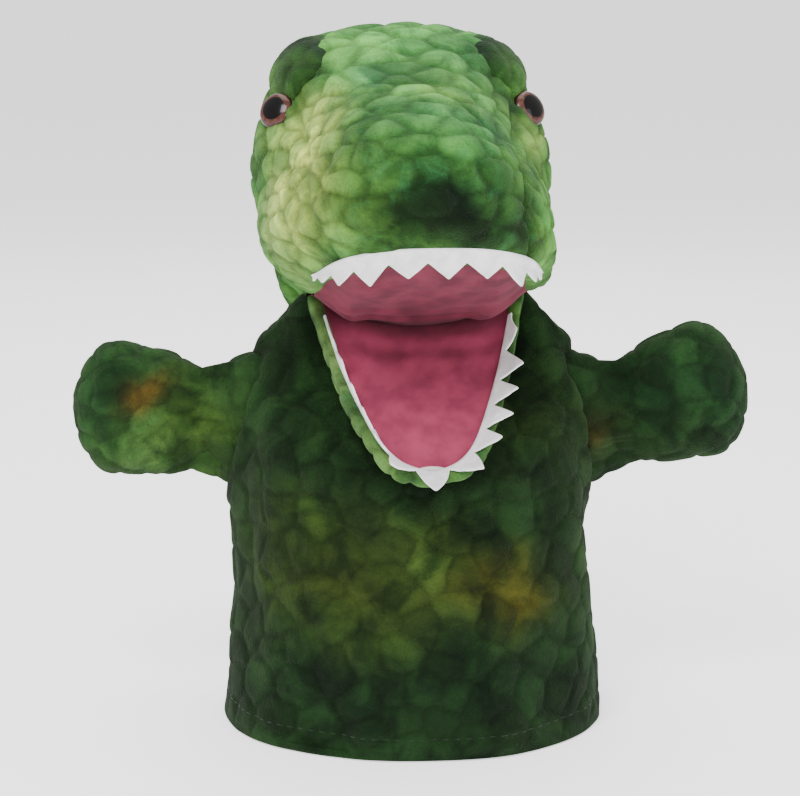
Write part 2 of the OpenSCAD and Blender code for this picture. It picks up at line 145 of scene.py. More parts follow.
class Noise:
    """Smooth value noise on a repeating lattice."""
    def __init__(self, seed):
        self.v = np.random.default_rng(seed).random((32, 32, 32)) * 2 - 1

    def one(self, q):
        i = np.floor(q).astype(int)
        f = q - i
        f = f * f * (3 - 2 * f)
        out = 0
        for dx in (0, 1):
            for dy in (0, 1):
                for dz in (0, 1):
                    w = (f[..., 0] if dx else 1 - f[..., 0]) * (f[..., 1] if dy else 1 - f[..., 1])
                    w = w * (f[..., 2] if dz else 1 - f[..., 2])
                    out = out + w * self.v[(i[..., 0] + dx) % 32, (i[..., 1] + dy) % 32, (i[..., 2] + dz) % 32]
        return out

    def __call__(self, p, size, octaves=2):
        out, amp = 0, 1.0
        for k in range(octaves):
            out = out + amp * self.one(np.asarray(p) / size * 2**k + 7.3 * k)
            amp *= 0.5
        return out


NA, NB, NC, ND = Noise(1), Noise(2), Noise(3), Noise(4)


def run(curve):
    """Length along a polyline at each of its points."""
    return np.r_[0, np.cumsum(np.linalg.norm(np.diff(curve, axis=0), axis=1))]


def follow(x, d, curve):
    """Values of the columns of a curve at the lengths x; d are the lengths at its points."""
    return np.stack([np.interp(x, d, k) for k in np.transpose(curve)], -1)


def resample(curve, n):
    """Points at n equal steps of length along a polyline."""
    d = run(curve)
    return follow(np.linspace(0, d[-1], n), d, curve)


def mean_rows(g):
    """Each row of a grid averaged with its two neighbours."""
    s = g.copy()
    s[1:-1] = (g[:-2] + 2 * g[1:-1] + g[2:]) / 4
    return s


def blur(g, times=2, keep_edges=True):
    """Softens a grid along its rows and columns."""
    for _ in range(times):
        t = mean_rows(mean_rows(g).swapaxes(0, 1)).swapaxes(0, 1)
        if keep_edges:
            t[0], t[-1] = g[0], g[-1]
            t[:, 0], t[:, -1] = g[:, 0], g[:, -1]
        g = t
    return g


# ---- meshes
def build(name, parts, mat):
    """One object from grids: each part is a dict with its points P in mm, attributes, flip and loop."""
    verts, faces, attrs, n0 = [], [], {}, 0
    for part in parts:
        P = part["P"]
        n, m = P.shape[:2]
        idx = np.arange(n * m).reshape(n, m) + n0
        pairs = [(idx[:, :-1], idx[:, 1:])] + ([(idx[:, -1], idx[:, 0])] if part.get("loop") else [])
        for u, v in pairs:
            corners = [u[:-1], v[:-1], v[1:], u[1:]] if part.get("flip") else [u[:-1], u[1:], v[1:], v[:-1]]
            faces.append(np.stack(corners, -1).reshape(-1, 4))
        verts.append(P.reshape(-1, 3) / 1000)
        for k, v in part.get("attrs", {}).items():
            attrs.setdefault(k, []).append(np.asarray(v, float).reshape(n * m, -1))
        n0 += n * m
    V, F = np.concatenate(verts), np.concatenate(faces)
    me = bpy.data.meshes.new(name)
    me.vertices.add(len(V))
    me.vertices.foreach_set("co", V.astype(np.float32).ravel())
    me.loops.add(F.size)
    me.loops.foreach_set("vertex_index", F.ravel().astype(np.int32))
    me.polygons.add(len(F))
    me.polygons.foreach_set("loop_start", np.arange(0, F.size, 4, dtype=np.int32))
    me.update(calc_edges=True)
    me.polygons.foreach_set("use_smooth", np.full(len(F), True))
    for k, vs in attrs.items():
        v = np.concatenate(vs).astype(np.float32)
        kind, field = ("FLOAT", "value") if v.shape[1] == 1 else ("FLOAT_VECTOR", "vector")
        if k == "tint":
            kind, field, v = "FLOAT_COLOR", "color", np.c_[v, np.ones(len(v), np.float32)]
        me.attributes.new(k, kind, "POINT").data.foreach_set(field, v.ravel())
    me.validate()
    me.materials.append(mat)
    ob = bpy.data.objects.new(name, me)
    bpy.context.scene.collection.objects.link(ob)
    return ob


ALL = slice(None)


def part_of(attrs, rows, cols=ALL):
    """The same part of every attribute of a grid."""
    return {k: v[rows, cols] for k, v in attrs.items()}


def piece(name, P, attrs, mat, flip, nodes, on, w=None, loop=False):
    """A visual piece of one grid: on is the body it rides; given weights w, it is only baked in place and left
    unattached, and neither on nor the values of w are used; nodes are the CAD nodes it stands for."""
    ob = build(name, [{"P": P, "attrs": attrs, "flip": flip, "loop": loop}], mat)
    if w is None:
        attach(ob, on)
    else:
        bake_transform(ob)
    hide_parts(*nodes)
    return ob


# ---- embossed scales
class Scales:
    """Rounded scales pressed into the plush: each vertex belongs to the nearest of many scattered centres."""
    def __init__(self, points, lo, hi, seed, stretch=(1, 1, 1)):
        r = np.random.default_rng(seed)
        self.k = np.array(stretch, float)
        pts = points.reshape(-1, 3) * self.k
        pts = pts[r.permutation(len(pts))[:9000]]
        rad = r.uniform(lo, hi, len(pts))
        kept, kr = np.zeros((0, 3)), np.zeros(0)
        for p, q in zip(pts, rad):
            if not len(kept) or np.all(np.linalg.norm(kept - p, axis=1) > (kr + q) / 2):
                kept, kr = np.vstack([kept, p]), np.r_[kr, q]
        self.c = kept
        self.v = r.random((len(kept), 3))

    def __call__(self, P):
        q = P.reshape(-1, 3) * self.k
        q = q + np.stack([n(q, 9, 2) for n in (NA, NB, NC)], -1) * 1.5
        f1, f2, who = np.empty(len(q)), np.empty(len(q)), np.empty(len(q), int)
        for s in range(0, len(q), 20000):
            d = np.linalg.norm(q[s:s + 20000, None] - self.c[None], axis=2)
            o = np.argpartition(d, 1, axis=1)[:, :2]
            dd = np.take_along_axis(d, o, 1)
            sw = dd[:, 0] > dd[:, 1]
            f1[s:s + 20000] = np.where(sw, dd[:, 1], dd[:, 0])
            f2[s:s + 20000] = np.where(sw, dd[:, 0], dd[:, 1])
            who[s:s + 20000] = np.where(sw, o[:, 1], o[:, 0])
        sh = P.shape[:-1]
        return (f2 - f1).reshape(sh), f1.reshape(sh), self.v[who].reshape(sh + (3,))


def plush(P, N, scales, puff=1.5, fold=0.8, seam=None, calm=None):
    """Displaces a cloth grid with scales and soft folds; gives its points and the material's attributes."""
    gapd, f1, rnd = scales(P)
    groove = np.exp(-(gapd / 2.6) ** 2)
    dome = np.sqrt(np.clip(1 - (f1 / 11) ** 2, 0, 1))
    h = puff * (0.75 * (1 - groove) + 0.45 * dome - 0.85) * (0.8 + 0.4 * rnd[..., 0])
    h = h + fold * (NA(P, 26, 2) * 0.9 + NB(P, 11, 2) * 0.35)
    if calm is not None:
        h = h * calm
    # edge is 0 in the grooves and is lowered along seams; the material darkens the colour there as painted shade in
    # the creases
    edge = 1 - groove
    if seam is not None:
        g = np.exp(-(seam / 1.6) ** 2)
        h = h * (1 - g) - 1.3 * g
        edge = edge * (1 - 0.7 * g)
    return P + N * h[..., None], {"rest": P / 1000, "edge": edge, "cell": rnd[..., 0]}


def lin(r, g, b):
    """Linear colour from 0 to 255 display values."""
    return tuple(x / 12.92 if x <= 0.04045 else ((x + 0.055) / 1.055) ** 2.4 for x in (r / 255, g / 255, b / 255))


def paint(P, base, patches, depth=1.0, place=np.asarray):
    """Colour of each vertex: a base and soft patches. A patch is a centre and three radii in mm, a display
    colour and a strength; place() takes its centre to the frame of P."""
    c = np.broadcast_to(np.array(base, float), P.shape).copy()
    c = c * (1 + 0.25 * np.clip(NC(P, 30, 2), -1, 1))[..., None]
    wob = np.stack([n(P, 17, 3) for n in (NB, NC, ND)], -1) * 6
    for row in patches:
        row = np.array(row, float)
        d = np.linalg.norm((P + wob - place(row[:3])) / row[3:6], axis=-1)
        w = (row[9] * np.exp(-d**2))[..., None]
        c = c * (1 - w) + np.array(lin(*row[6:9])) * w
    return c * depth


# ---- materials
class Shader:
    """A material of nodes under construction."""
    def __init__(self, name):
        self.material = bpy.data.materials.new(name)
        self.material.use_nodes = True
        self.tree = self.material.node_tree
        self.tree.nodes.clear()
        self.bsdf = self.add("BsdfPrincipled")
        self.add("OutputMaterial", {0: self.bsdf.outputs[0]})

    def add(self, kind, inputs=None, **settings):
        n = self.tree.nodes.new("ShaderNode" + kind)
        for k, v in settings.items():
            setattr(n, k, v)
        self.put(n, inputs or {})
        return n

    def put(self, n, inputs):
        for k, v in inputs.items():
            if isinstance(v, bpy.types.NodeSocket):
                self.tree.links.new(v, n.inputs[k])
            else:
                n.inputs[k].default_value = (*v, 1) if isinstance(v, tuple) else v

    def attr(self, name, out="Fac"):
        return self.add("Attribute", attribute_name=name).outputs[out]

    def math(self, op, *values):
        return self.add("Math", dict(enumerate(values)), operation=op).outputs[0]

    def mix(self, fac, a, b, mode="MIX"):
        return self.add("Mix", {0: fac, 6: a, 7: b}, data_type="RGBA", blend_type=mode).outputs[2]

    def noise(self, vec, scale, detail=3, rough=0.55, distortion=0.0):
        return self.add("TexNoise", {"Scale": scale, "Detail": detail, "Roughness": rough, "Distortion": distortion,
                                     "Vector": vec}).outputs["Fac"]

    def remap(self, v, a, b, c=0.0, d=1.0):
        return self.add("MapRange", {0: v, 1: a, 2: b, 3: c, 4: d}, interpolation_type="SMOOTHSTEP").outputs[0]

    def shade(self, c, v, gain, low):
        """Multiplies a colour by low + gain * v."""
        v = self.math("MULTIPLY_ADD", v, gain, low)
        return self.mix(1.0, c, self.add("CombineColor", {0: v, 1: v, 2: v}).outputs[0], "MULTIPLY")

    def finish(self, colour, values, height=None, strength=0.0, distance=0.0):
        self.put(self.bsdf, {"Base Color": colour, **values})
        if height is not None:
            n = self.add("Bump", {"Strength": strength, "Distance": distance, "Height": height})
            self.put(self.bsdf, {"Normal": n.outputs[0]})
        return self.material


def plush_material(name, mottle, sheen, groove, alt):
    s = Shader(name)
    rest, tint = s.attr("rest", "Vector"), s.attr("tint", "Color")
    pile, fibre = s.noise(rest, 1500, 3, 0.7), s.noise(rest, 520, 3, 0.65, 1.5)
    dark, light = (s.mix(1.0, tint, k, "MULTIPLY") for k in ((0.42, 0.50, 0.42), (1.50, 1.40, 1.15)))
    c = s.mix(s.remap(s.noise(rest, 55, 4, 0.6, 0.6), 0.35, 0.66), dark, light)
    # spots of the other dye, but not on the dark patches
    spots = s.remap(s.noise(rest, 130, 4, 0.6, 0.8), 0.50, 0.72, 0, 0.42 * mottle)
    green = s.add("SeparateColor", {0: tint}).outputs[1]
    c = s.mix(s.math("MULTIPLY", spots, s.remap(green, 0.015, 0.07)), c, alt)
    # the cell tone varies at random; where 'edge' is 0, in the grooves between the scales, the colour is darkened
    # by about the groove strength: painted shade in the creases
    for v, gain, low in ((s.attr("cell"), 0.66, 0.67), (s.attr("edge"), groove, 1 - groove + 0.06),
                         (pile, 0.7, 0.65), (fibre, 0.6, 0.70)):
        c = s.shade(c, v, gain, low)
    return s.finish(c, {"Roughness": 0.92, "Specular IOR Level": 0.12, "Sheen Weight": sheen,
                        "Sheen Roughness": 0.45, "Sheen Tint": (0.62, 0.85, 0.50)},
                    s.math("MULTIPLY_ADD", fibre, 0.8, s.math("MULTIPLY", pile, 0.5)), 0.9, 0.0011)


def woven_material(name, colour, shade, scale, sheen):
    """Plain woven cloth with a fine thread pattern."""
    s = Shader(name)
    rest = s.attr("rest", "Vector")
    weave = s.math("MAXIMUM", *(s.add("TexWave", {"Scale": k, "Distortion": 1.2, "Vector": rest}, wave_type="BANDS",
                                      bands_direction=d).outputs["Fac"]
                                for d, k in (("X", scale), ("DIAGONAL", scale * 0.93))))
    fine = s.noise(rest, 1300, 3, 0.7)
    c = s.mix(s.remap(s.noise(rest, 90, 3), 0.3, 0.7), shade, colour)
    c = s.shade(s.shade(c, fine, 0.25, 0.875), weave, 0.14, 0.88)
    return s.finish(c, {"Roughness": 0.85, "Specular IOR Level": 0.2, "Sheen Weight": sheen,
                        "Sheen Roughness": 0.5},
                    s.math("MULTIPLY_ADD", fine, 0.7, s.math("MULTIPLY", weave, 0.5)), 0.35, 0.0004)


def felt_material(name, colour, shade):
    s = Shader(name)
    rest = s.attr("rest", "Vector")
    fine = s.noise(rest, 1100, 4, 0.7, 1.0)
    c = s.shade(s.mix(s.remap(s.noise(rest, 160, 3), 0.3, 0.7), shade, colour), fine, 0.30, 0.85)
    return s.finish(c, {"Roughness": 0.95, "Specular IOR Level": 0.1, "Sheen Weight": 0.3}, fine, 0.6, 0.0005)


def inside_material(name, colour, shade, scale, bump_mm, rough=0.9):
    """Cloth, fibre or board inside the puppet; its pattern is fixed to the object."""
    s = Shader(name)
    vec = s.add("TexCoord").outputs["Object"]
    fine = s.noise(vec, scale, 4, 0.7, 1.5)
    c = s.shade(s.mix(s.remap(s.noise(vec, scale * 0.15, 3), 0.3, 0.7), shade, colour), fine, 0.4, 0.8)
    return s.finish(c, {"Roughness": rough, "Sheen Weight": 0.2}, fine, 0.7, bump_mm / 1000)


def eye_material(name):
    """Black pupil, brown iris and a dark rim in a clear coat; 'ring' is 0 at the centre, 1 at the rim."""
    s = Shader(name)
    ring = s.attr("ring")
    brown = s.mix(s.remap(s.noise(s.attr("rest", "Vector"), 700, 3), 0.3, 0.7), lin(60, 32, 26), lin(88, 54, 46))
    c = s.mix(s.remap(ring, 0.62, 0.68), lin(10, 8, 8), brown)
    c = s.mix(s.remap(ring, 0.86, 0.97), c, lin(38, 20, 14))
    return s.finish(c, {"Roughness": 0.22, "Specular IOR Level": 0.12, "Coat Weight": 0.25, "Coat Roughness": 0.02})


M_BODY = plush_material("plush_body", 1.0, 0.05, 0.26, lin(34, 66, 24))
M_HEAD = plush_material("plush_head", 0.8, 0.10, 0.45, lin(48, 108, 66))
M_BROW = plush_material("plush_brow", 0.3, 0.10, 0.4, lin(24, 52, 30))
M_PINK = woven_material("mouth_cloth", lin(150, 56, 82), lin(122, 42, 66), 760, 0.06)
# the roof is the same mouth cloth, made darker: painted shade under the upper jaw
M_ROOF_SHADED = woven_material("mouth_cloth_roof", lin(108, 38, 56), lin(80, 25, 41), 760, 0.03)
M_FELT = felt_material("felt", lin(238, 236, 236), lin(214, 212, 214))
M_LINING = woven_material("lining_cloth", lin(34, 46, 34), lin(24, 34, 25), 620, 0.2)
M_TAPE = woven_material("label_tape", lin(226, 224, 216), lin(206, 203, 194), 1300, 0.1)
M_THREAD = felt_material("thread_green", lin(20, 40, 20), lin(15, 31, 15))
M_EYE = eye_material("eye_plastic")
M_FILL = inside_material("filling", lin(232, 230, 224), lin(206, 204, 198), 420, 1.2)
M_POCKET = inside_material("pocket_cloth", lin(36, 48, 36), lin(26, 36, 27), 900, 0.3)
M_BOARD = inside_material("mouth_board", lin(150, 146, 138), lin(128, 124, 118), 500, 0.2)
M_WASHER = inside_material("washer_plastic", lin(216, 216, 214), lin(200, 200, 198), 300, 0.05, 0.45)


def grid_normals(P):
    return unit(np.cross(np.gradient(P, axis=0), np.gradient(P, axis=1)))


def facing(P, centre):
    """True if the faces of a grid have to be flipped to face away from the centre."""
    return ((P - np.asarray(centre, float)) * grid_normals(P)).sum() < 0


def outward(P, centre):
    """Normals of a grid, turned away from the centre."""
    return -grid_normals(P) if facing(P, centre) else grid_normals(P)


# ---- frames of the head and the jaw
def head_world(p):
    return rot_z(rot_x(p, -TILT), YAW) + HINGE


def head_turn(v):
    """A direction of the head's own frame in the shared frame."""
    return rot_z(rot_x(np.asarray(v, float), -TILT), YAW)


def jaw_world(p):
    return rot_z(rot_x(p, DROP), YAW) + HINGE


def neck_frame(w):
    return rot_z(w - HINGE, -YAW)


LIFT = np.array([0, 4.5, 10.5])


def corner_pull(w):
    """Raises the cloth at the two mouth corners, where roof, floor and cheek are sewn together."""
    q = neck_frame(w)
    k = sum(np.exp(-(np.linalg.norm(q - np.array([x, 0, 0]), axis=-1) / 19) ** 2) for x in (-HALF, HALF))
    return w + rot_z(k[..., None] * LIFT, YAW)


def corner_free(w):
    """0 at a mouth corner, 1 away from it."""
    q = neck_frame(w)
    d = np.minimum(np.linalg.norm(q - [HALF, 0, 0], axis=-1), np.linalg.norm(q + [HALF, 0, 0], axis=-1))
    return smooth(d, 1.0, 16)


def turn_weight(w, tilt, up, a0, a1):
    """Share of the head or the jaw in its cloth: 1 up to the angle a0 about the crease, 0 from a1 on."""
    q = rot_x(neck_frame(w), tilt)
    a = np.degrees(np.arctan2(up * q[..., 2], -q[..., 1]))
    return (1 - smooth(np.where(a < -90, a + 360, a), a0, a1)) * corner_free(w)


# ---- shape of the head
def lip_curl(p):
    """The sides of the upper lip curl up a little; p is in the head's own frame."""
    side = smooth(np.abs(p[..., 0]) / HALF, 0.55, 1.0)
    k = np.exp(-((p[..., 1] + 38) / 26) ** 2) * side * (1 - smooth(p[..., 2], 5, 40))
    return p + np.array([0, 0, 6.0]) * k[..., None]


HEAD = [[0, ROOF, 42, 2.9], [7, 91, 48, 2.9], [19, 100, 52, 2.6], [32, 100, 53, 2.4], [44, 97, 53, 2.5],
        [56, 99, 53, 3.1], [68, 105, 53, 4.3], [80, 109, 52, 4.3], [94, 106, 51, 3.7], [110, 91, 49, 3.0],
        [128, 74, 47, 2.6], [144, 62, 45, 2.4], [156, 57, 43, 2.4]]
NOSTRIL, SOCKET, CHEEK = np.array([15, -88, 35.]), np.array([47, -31, 72.]), np.array([48, -36, 24.])


def hump(p, c, r):
    """A soft rise of radius r about the point c and about its mirror image."""
    return sum(np.exp(-(np.linalg.norm(p - c * [x, 1, 1], axis=-1) / r) ** 2) for x in (1, -1))


def head_pt(a, t):
    a, t = np.broadcast_arrays(np.asarray(a, float), np.asarray(t, float))
    r, w, n = at(HEAD, a, 1), at(HEAD, a, 2), at(HEAD, a, 3)
    ar, tr = np.radians(a), np.radians(t)
    s = np.maximum(np.sin(tr), 0) ** (2 / n)
    wide = mix(HALF, w, np.minimum(1, 2.2 * s))
    x = wide * np.sign(np.cos(tr)) * np.abs(np.cos(tr)) ** (2 / n)
    z = r * s * np.sin(ar)
    q = np.stack([x, -r * s * np.cos(ar), z], -1)
    out = unit(np.stack([q[..., 0], q[..., 1] + 20, q[..., 2] - 25], -1))
    k = (2.5 * hump(q, NOSTRIL, 11) - 3.5 * hump(q, SOCKET, 11) + 2.5 * hump(q, CHEEK, 20)
         + 1.2 * hump(q, np.array([9, -92, 40.]), 9) - 1.6 * hump(q, np.array([31, -66, 44.]), 13)
         - 1.2 * np.exp(-((q[..., 0] / 9) ** 2 + ((q[..., 1] + 52) / 26) ** 2 + ((q[..., 2] - 84) / 16) ** 2)))
    p = q + out * k[..., None]
    p[..., 0] -= SHIFT * smooth(z, 0, 18)
    return p


def head_rows(a_rows, t0, t1, cols):
    t = np.linspace(t0, t1, 260)
    return np.array([resample(head_pt(np.full_like(t, a), t), cols) for a in a_rows])


SKIN_END = 150.0
ROWS_H = int(236 / STEP)
EDGE_T = 50.0
a_rows = np.linspace(0, SKIN_END, ROWS_H)
c_side, c_mid = int(66 / STEP), int(92 / STEP)
grids = [head_rows(a_rows, 0, EDGE_T, c_side), head_rows(a_rows, EDGE_T, 180 - EDGE_T, c_mid),
         head_rows(a_rows, 180 - EDGE_T, 180, c_side)]
head_all = np.concatenate([grids[0], grids[1][:, 1:], grids[2][:, 1:]], axis=1)
lip_p = head_all[0]
roll = []
for inset, z in ((6.0, 1.2), (4.4, -0.4), (2.6, -1.2), (1.1, -0.9)):
    c = np.array([0, -ROOF * 0.42, 0])
    d = unit(c - lip_p)
    free = smooth(-lip_p[:, 1], 0, 12)[:, None]
    roll.append(lip_p + d * inset * free + np.array([0, 0, z]))
head_all = np.concatenate([np.array(roll), head_all], axis=0)
a_all = np.r_[np.full(4, 0.0), a_rows]
head_w = corner_pull(head_world(lip_curl(head_all)))
EYE_A, EYE_T, EYE_R = 68.0, 36.0, 6.7


def side_of(t):
    """1 on the puppet's left, -1 on its right."""
    return 1 if t < 90 else -1


def eye_frame(t):
    """Centre and outlook of an eye in the head's own frame; it looks forward and a little outward."""
    p, sx = head_pt(EYE_A, t), side_of(t)
    d = unit(np.array([0.53 * sx, -0.84, 0.11]))
    return p + np.array([-3.4 * sx, -6.0, -6.0]), d


def push(w, way, centre, scale, size, reach, power=2):
    """The head's cloth w moved by size along way, round a centre in the head's own frame."""
    d = np.linalg.norm((head_all - centre) * scale, axis=-1)
    return w + head_turn(way) * (size * np.exp(-(d / reach) ** power))[..., None]


for t in (EYE_T, 180 - EYE_T):
    c, d = eye_frame(t)
    sx = side_of(t)
    head_w = push(head_w, d, c - d * 4.5, [1, 0.75, 1], 2.6, 11.0, 4)
    # the cloth beside the eye bulges past it, and a step parts the eye from the cheek below it
    head_w = push(head_w, [sx, 0.1, 0], c + [5.0 * sx, 15.0, -3.0], [0.6, 0.9, 0.8], 2.4, 15.0, 4)
    head_w = push(head_w, [0, -1.0, 0.5], c + [0, 2, -15.0], [0.75, 0.8, 1.3], 3.2, 11)
for sx in (-1, 1):
    hollow = unit(np.array([0.75 * sx, -0.6, 0.3]))
    head_w = push(head_w, hollow, [36.0 * sx - SHIFT, -46, 70], [1.1, 0.7, 0.8], -2.6, 9.5)
dome_ = np.exp(-(head_all[..., 0] + SHIFT) ** 2 / 30.0 ** 2) * smooth(head_all[..., 2], 70, 100)
head_w[..., 2] += 2.2 * dome_ - 1.2 * smooth(head_all[..., 2], 70, 100) * (1 - dome_)
head_w = blur(head_w, 3)
w_head = turn_weight(head_world(head_all), TILT, 1, 96, 149)
w_head[-1] = 0
seam_cols = (c_side - 1, c_side - 1 + c_mid - 1)
HEAD_C = HINGE + np.array([-4, -25, 52])
N_HEAD = unit(blur(outward(head_w, HEAD_C), 3))
scales_head = Scales(head_w[4::3, ::3], 7.0, 11.2, 5, (0.70, 1, 1.26))
N_H = head_all.shape[1]
seam = np.abs(np.arange(N_H)[None] - np.array(seam_cols)[:, None]).min(0) * STEP
calm = smooth(a_all, 0.5, 9)[:, None] * np.ones(N_H)[None]
calm = calm * smooth(SKIN_END - a_all, 0, 10)[:, None]
hp, hat = plush(head_w, N_HEAD, scales_head, 1.5, 0.9, seam, calm)


HEAD_PATCHES = [
    (0, -40, 100, 50, 50, 26, 104, 160, 92, 0.85), (-10, -60, 78, 26, 22, 24, 112, 166, 96, 0.6),
    (26, -50, 90, 26, 26, 22, 74, 134, 84, 0.7), (0, -92, 52, 26, 22, 18, 78, 138, 96, 0.7),
    # the dark patches at y -86 to -95 and z 5 to 14 are painted shade low on the front of the nose, which faces
    # down and away from the light
    (2, -94, 14, 30, 24, 20, 52, 104, 52, 0.75), (5, -95, 11, 14, 22, 13, 12, 40, 26, 0.97),
    (26, -86, 5, 7, 20, 16, 20, 58, 30, 0.85), (36, -78, 5, 5, 14, 12, 126, 156, 70, 0.6),
    (-15, -88, 3, 9, 14, 10, 96, 146, 64, 0.6), (-24, -70, 70, 12, 14, 8, 74, 140, 104, 0.8),
    (24, -84, 46, 12, 14, 10, 56, 118, 84, 0.7), (0, -78, 66, 24, 12, 7, 136, 176, 88, 0.6),
    (-28, -88, 14, 9, 14, 14, 128, 170, 88, 0.7), (14, -92, 40, 13, 14, 9, 62, 124, 72, 0.6),
    (-45, -66, 36, 10, 20, 18, 204, 208, 120, 0.95), (-52, -54, 26, 9, 20, 22, 180, 200, 140, 0.85),
    (-41, -76, 14, 11, 16, 13, 150, 184, 100, 0.75), (-40, -64, 54, 12, 14, 7, 196, 204, 118, 0.9),
    (44, -56, 52, 14, 22, 26, 126, 156, 72, 0.75), (44, -66, 20, 14, 22, 16, 70, 132, 60, 0.7),
    # the dark patches at (47, -26, 80) and (-54, -26, 80) are painted shadow under the brow hoods
    (52, -36, 40, 9, 20, 30, 62, 104, 46, 0.6), (47, -26, 80, 11, 15, 14, 26, 58, 34, 0.85),
    (-54, -26, 80, 11, 15, 14, 26, 58, 34, 0.85), (0, 40, 60, 70, 34, 46, 28, 62, 30, 0.65),
    (60, 10, 40, 20, 34, 40, 44, 86, 42, 0.8), (-64, 10, 40, 20, 34, 40, 48, 92, 44, 0.7),
]
for t in (EYE_T, 180 - EYE_T):
    for row in ((0, 0, 0, 12, 22, 10, 34, 66, 34, 0.85), (0, 0, 8, 8, 16, 3.6, 112, 150, 60, 0.8),
                # the narrow dark patch at the inner side of each eye is painted shade in the recess beside the
                # crown
                (-9 * side_of(t), 0, 5, 4, 14, 11, 24, 50, 30, 0.85),
                (0, -6, -13, 13, 14, 4.5, 176, 196, 110, 0.75)):
        HEAD_PATCHES.append((*(eye_frame(t)[0] + row[:3]), *row[3:]))
# painted shade low on the nose, which faces down and away from the light, and lighter spots on the cheeks: place
# and radii in x and z in mm, and strength; below 0 it lightens the colour instead
HEAD_PAINTED_SHADE = [
    (-3, -96, 10, 19, 13, 0.78), (15, -92, 3, 10, 9, 0.72), (-14, -92, 6, 8, 9, 0.45), (-24, -86, 22, 22, 20, 0.38),
    (31, -82, 12, 5, 12, 0.5), (-58, -30, 6, 12, 10, -0.25), (50, -52, 34, 12, 26, -0.42),
    (-26, -74, 62, 15, 12, -0.25),
]


def near(x, y, z, rx, ry, rz, waver=0):
    """1 at a point of the head's own frame, falling off with a radius along each axis."""
    d = (head_w - head_world(np.array([x, y, z], float))) / np.array([rx, ry, rz]) + waver
    return np.exp(-(d**2).sum(-1))[..., None]


tint = paint(head_w, lin(104, 150, 78), HEAD_PATCHES, 0.56, head_world) * np.array([0.80, 1.06, 0.88])
waver = 0.12 * np.stack([NA(head_w, 9, 2), 0 * calm, NB(head_w, 9, 2)], -1)
for x, y, z, rx, rz, k in HEAD_PAINTED_SHADE:
    tint = tint * (1 - k * near(x, y, z, rx, 30, rz, waver))
pale = 0.6 + 0.4 * smooth(NC(head_w, 14, 2), -0.3, 0.3)[..., None]
tint = mix(tint, np.array(lin(198, 216, 106)), 0.95 * near(-46, -67, 33, 9.5, 30, 23) * pale)
# the top of the crown made lighter: painted light where it faces up to the lamps
tint = tint * (1 + 1.2 * near(-4, -10, 104, 34, 40, 12))
hat["tint"] = tint


for name, sl, node_ in (("crown_skin", slice(seam_cols[0], seam_cols[1] + 1), "crown_panel"),
                        ("left_cheek_skin", slice(0, seam_cols[0] + 1), "left_cheek_panel"),
                        ("right_cheek_skin", slice(seam_cols[1], N_H), "right_cheek_panel")):
    piece(name, hp[:, sl], part_of(hat, ALL, sl), M_HEAD, facing(hp[:, sl], HEAD_C), [node_],
          ("neck", "head"), w_head[:, sl])


# ---- jaw
def jaw_w(s):
    return mix(HALF - 1, 16.8, s / JAW) * np.sqrt(np.maximum(0, 1 - (s / JAW) ** 12))


def jaw_pt(s, t):
    d = mix(21, 9, (s / JAW) ** 1.3) * np.sqrt(np.maximum(0.0004, 1 - (s / JAW) ** 7))
    tr = np.radians(t)
    c, k = np.cos(tr), np.maximum(np.sin(tr), 0)
    return np.stack([np.maximum(0.3, jaw_w(s)) * sup(c, 2.6), -s + 0 * c, -d * k ** (2 / 2.6)], -1)


rows_j = int(84 / STEP)
sj = JAW * np.sin(np.radians(np.linspace(0, 89.3, rows_j)))
tj = np.linspace(0, 180, 200)
cols_j = int(96 / STEP)
jaw_all = np.array([resample(jaw_pt(s, tj), cols_j) for s in sj])
edge_l, edge_r = jaw_all[:, 0], jaw_all[:, -1]


def rim(edge):
    out = []
    for inset, z in ((5.0, -0.6), (3.4, 0.5), (1.9, 0.9), (0.7, 0.6)):
        k = np.minimum(inset, np.abs(edge[:, 0]) * 0.9) / np.maximum(np.abs(edge[:, 0]), 1e-3)
        p = edge.copy()
        p[:, 0] *= 1 - k
        p[:, 1] += np.where(-edge[:, 1] > JAW - 12, inset * smooth(-edge[:, 1], JAW - 12, JAW), 0)
        p[:, 2] += z
        out.append(p)
    return out


rl, rr = rim(edge_l), rim(edge_r)[::-1]
jaw_all = np.concatenate([np.stack(rl, 1), jaw_all, np.stack(rr, 1)], axis=1)
jaw_base = jaw_world(jaw_all)
jaw_wd = corner_pull(jaw_base)
jaw_wd = blur(jaw_wd, 2)
w_jaw = turn_weight(jaw_base, -DROP, -1, 28, 84)
w_jaw[0] = 0
JAW_C = jaw_world(np.array([0, -30, -8.]))
N_JAW = unit(blur(outward(jaw_wd, JAW_C), 2))
scales_jaw = Scales(jaw_wd[::2, ::2], 7.2, 11, 6)
calm = smooth(from_ends(jaw_all.shape[1]) * STEP, 3.5, 9)[None] * smooth(sj, 0, 8)[:, None]
jp, jat = plush(jaw_wd, N_JAW, scales_jaw, 1.4, 0.6, None, calm)
jat["tint"] = 0.72 * paint(jaw_wd, lin(70, 112, 56), [
    (-34, -20, 0., 16, 60, 30, 112, 146, 88, 0.8), (-20, -60, 0., 16, 20, 20, 90, 124, 70, 0.7),
    (0, -20, -20., 60, 40, 16, 28, 62, 30, 0.7), (30, -40, -4., 16, 40, 20, 56, 96, 44, 0.7),
], place=jaw_world)
piece("jaw_skin", jp, jat, M_HEAD, facing(jp, JAW_C), ["jaw_panel"], ("neck", "jaw"), w_jaw)


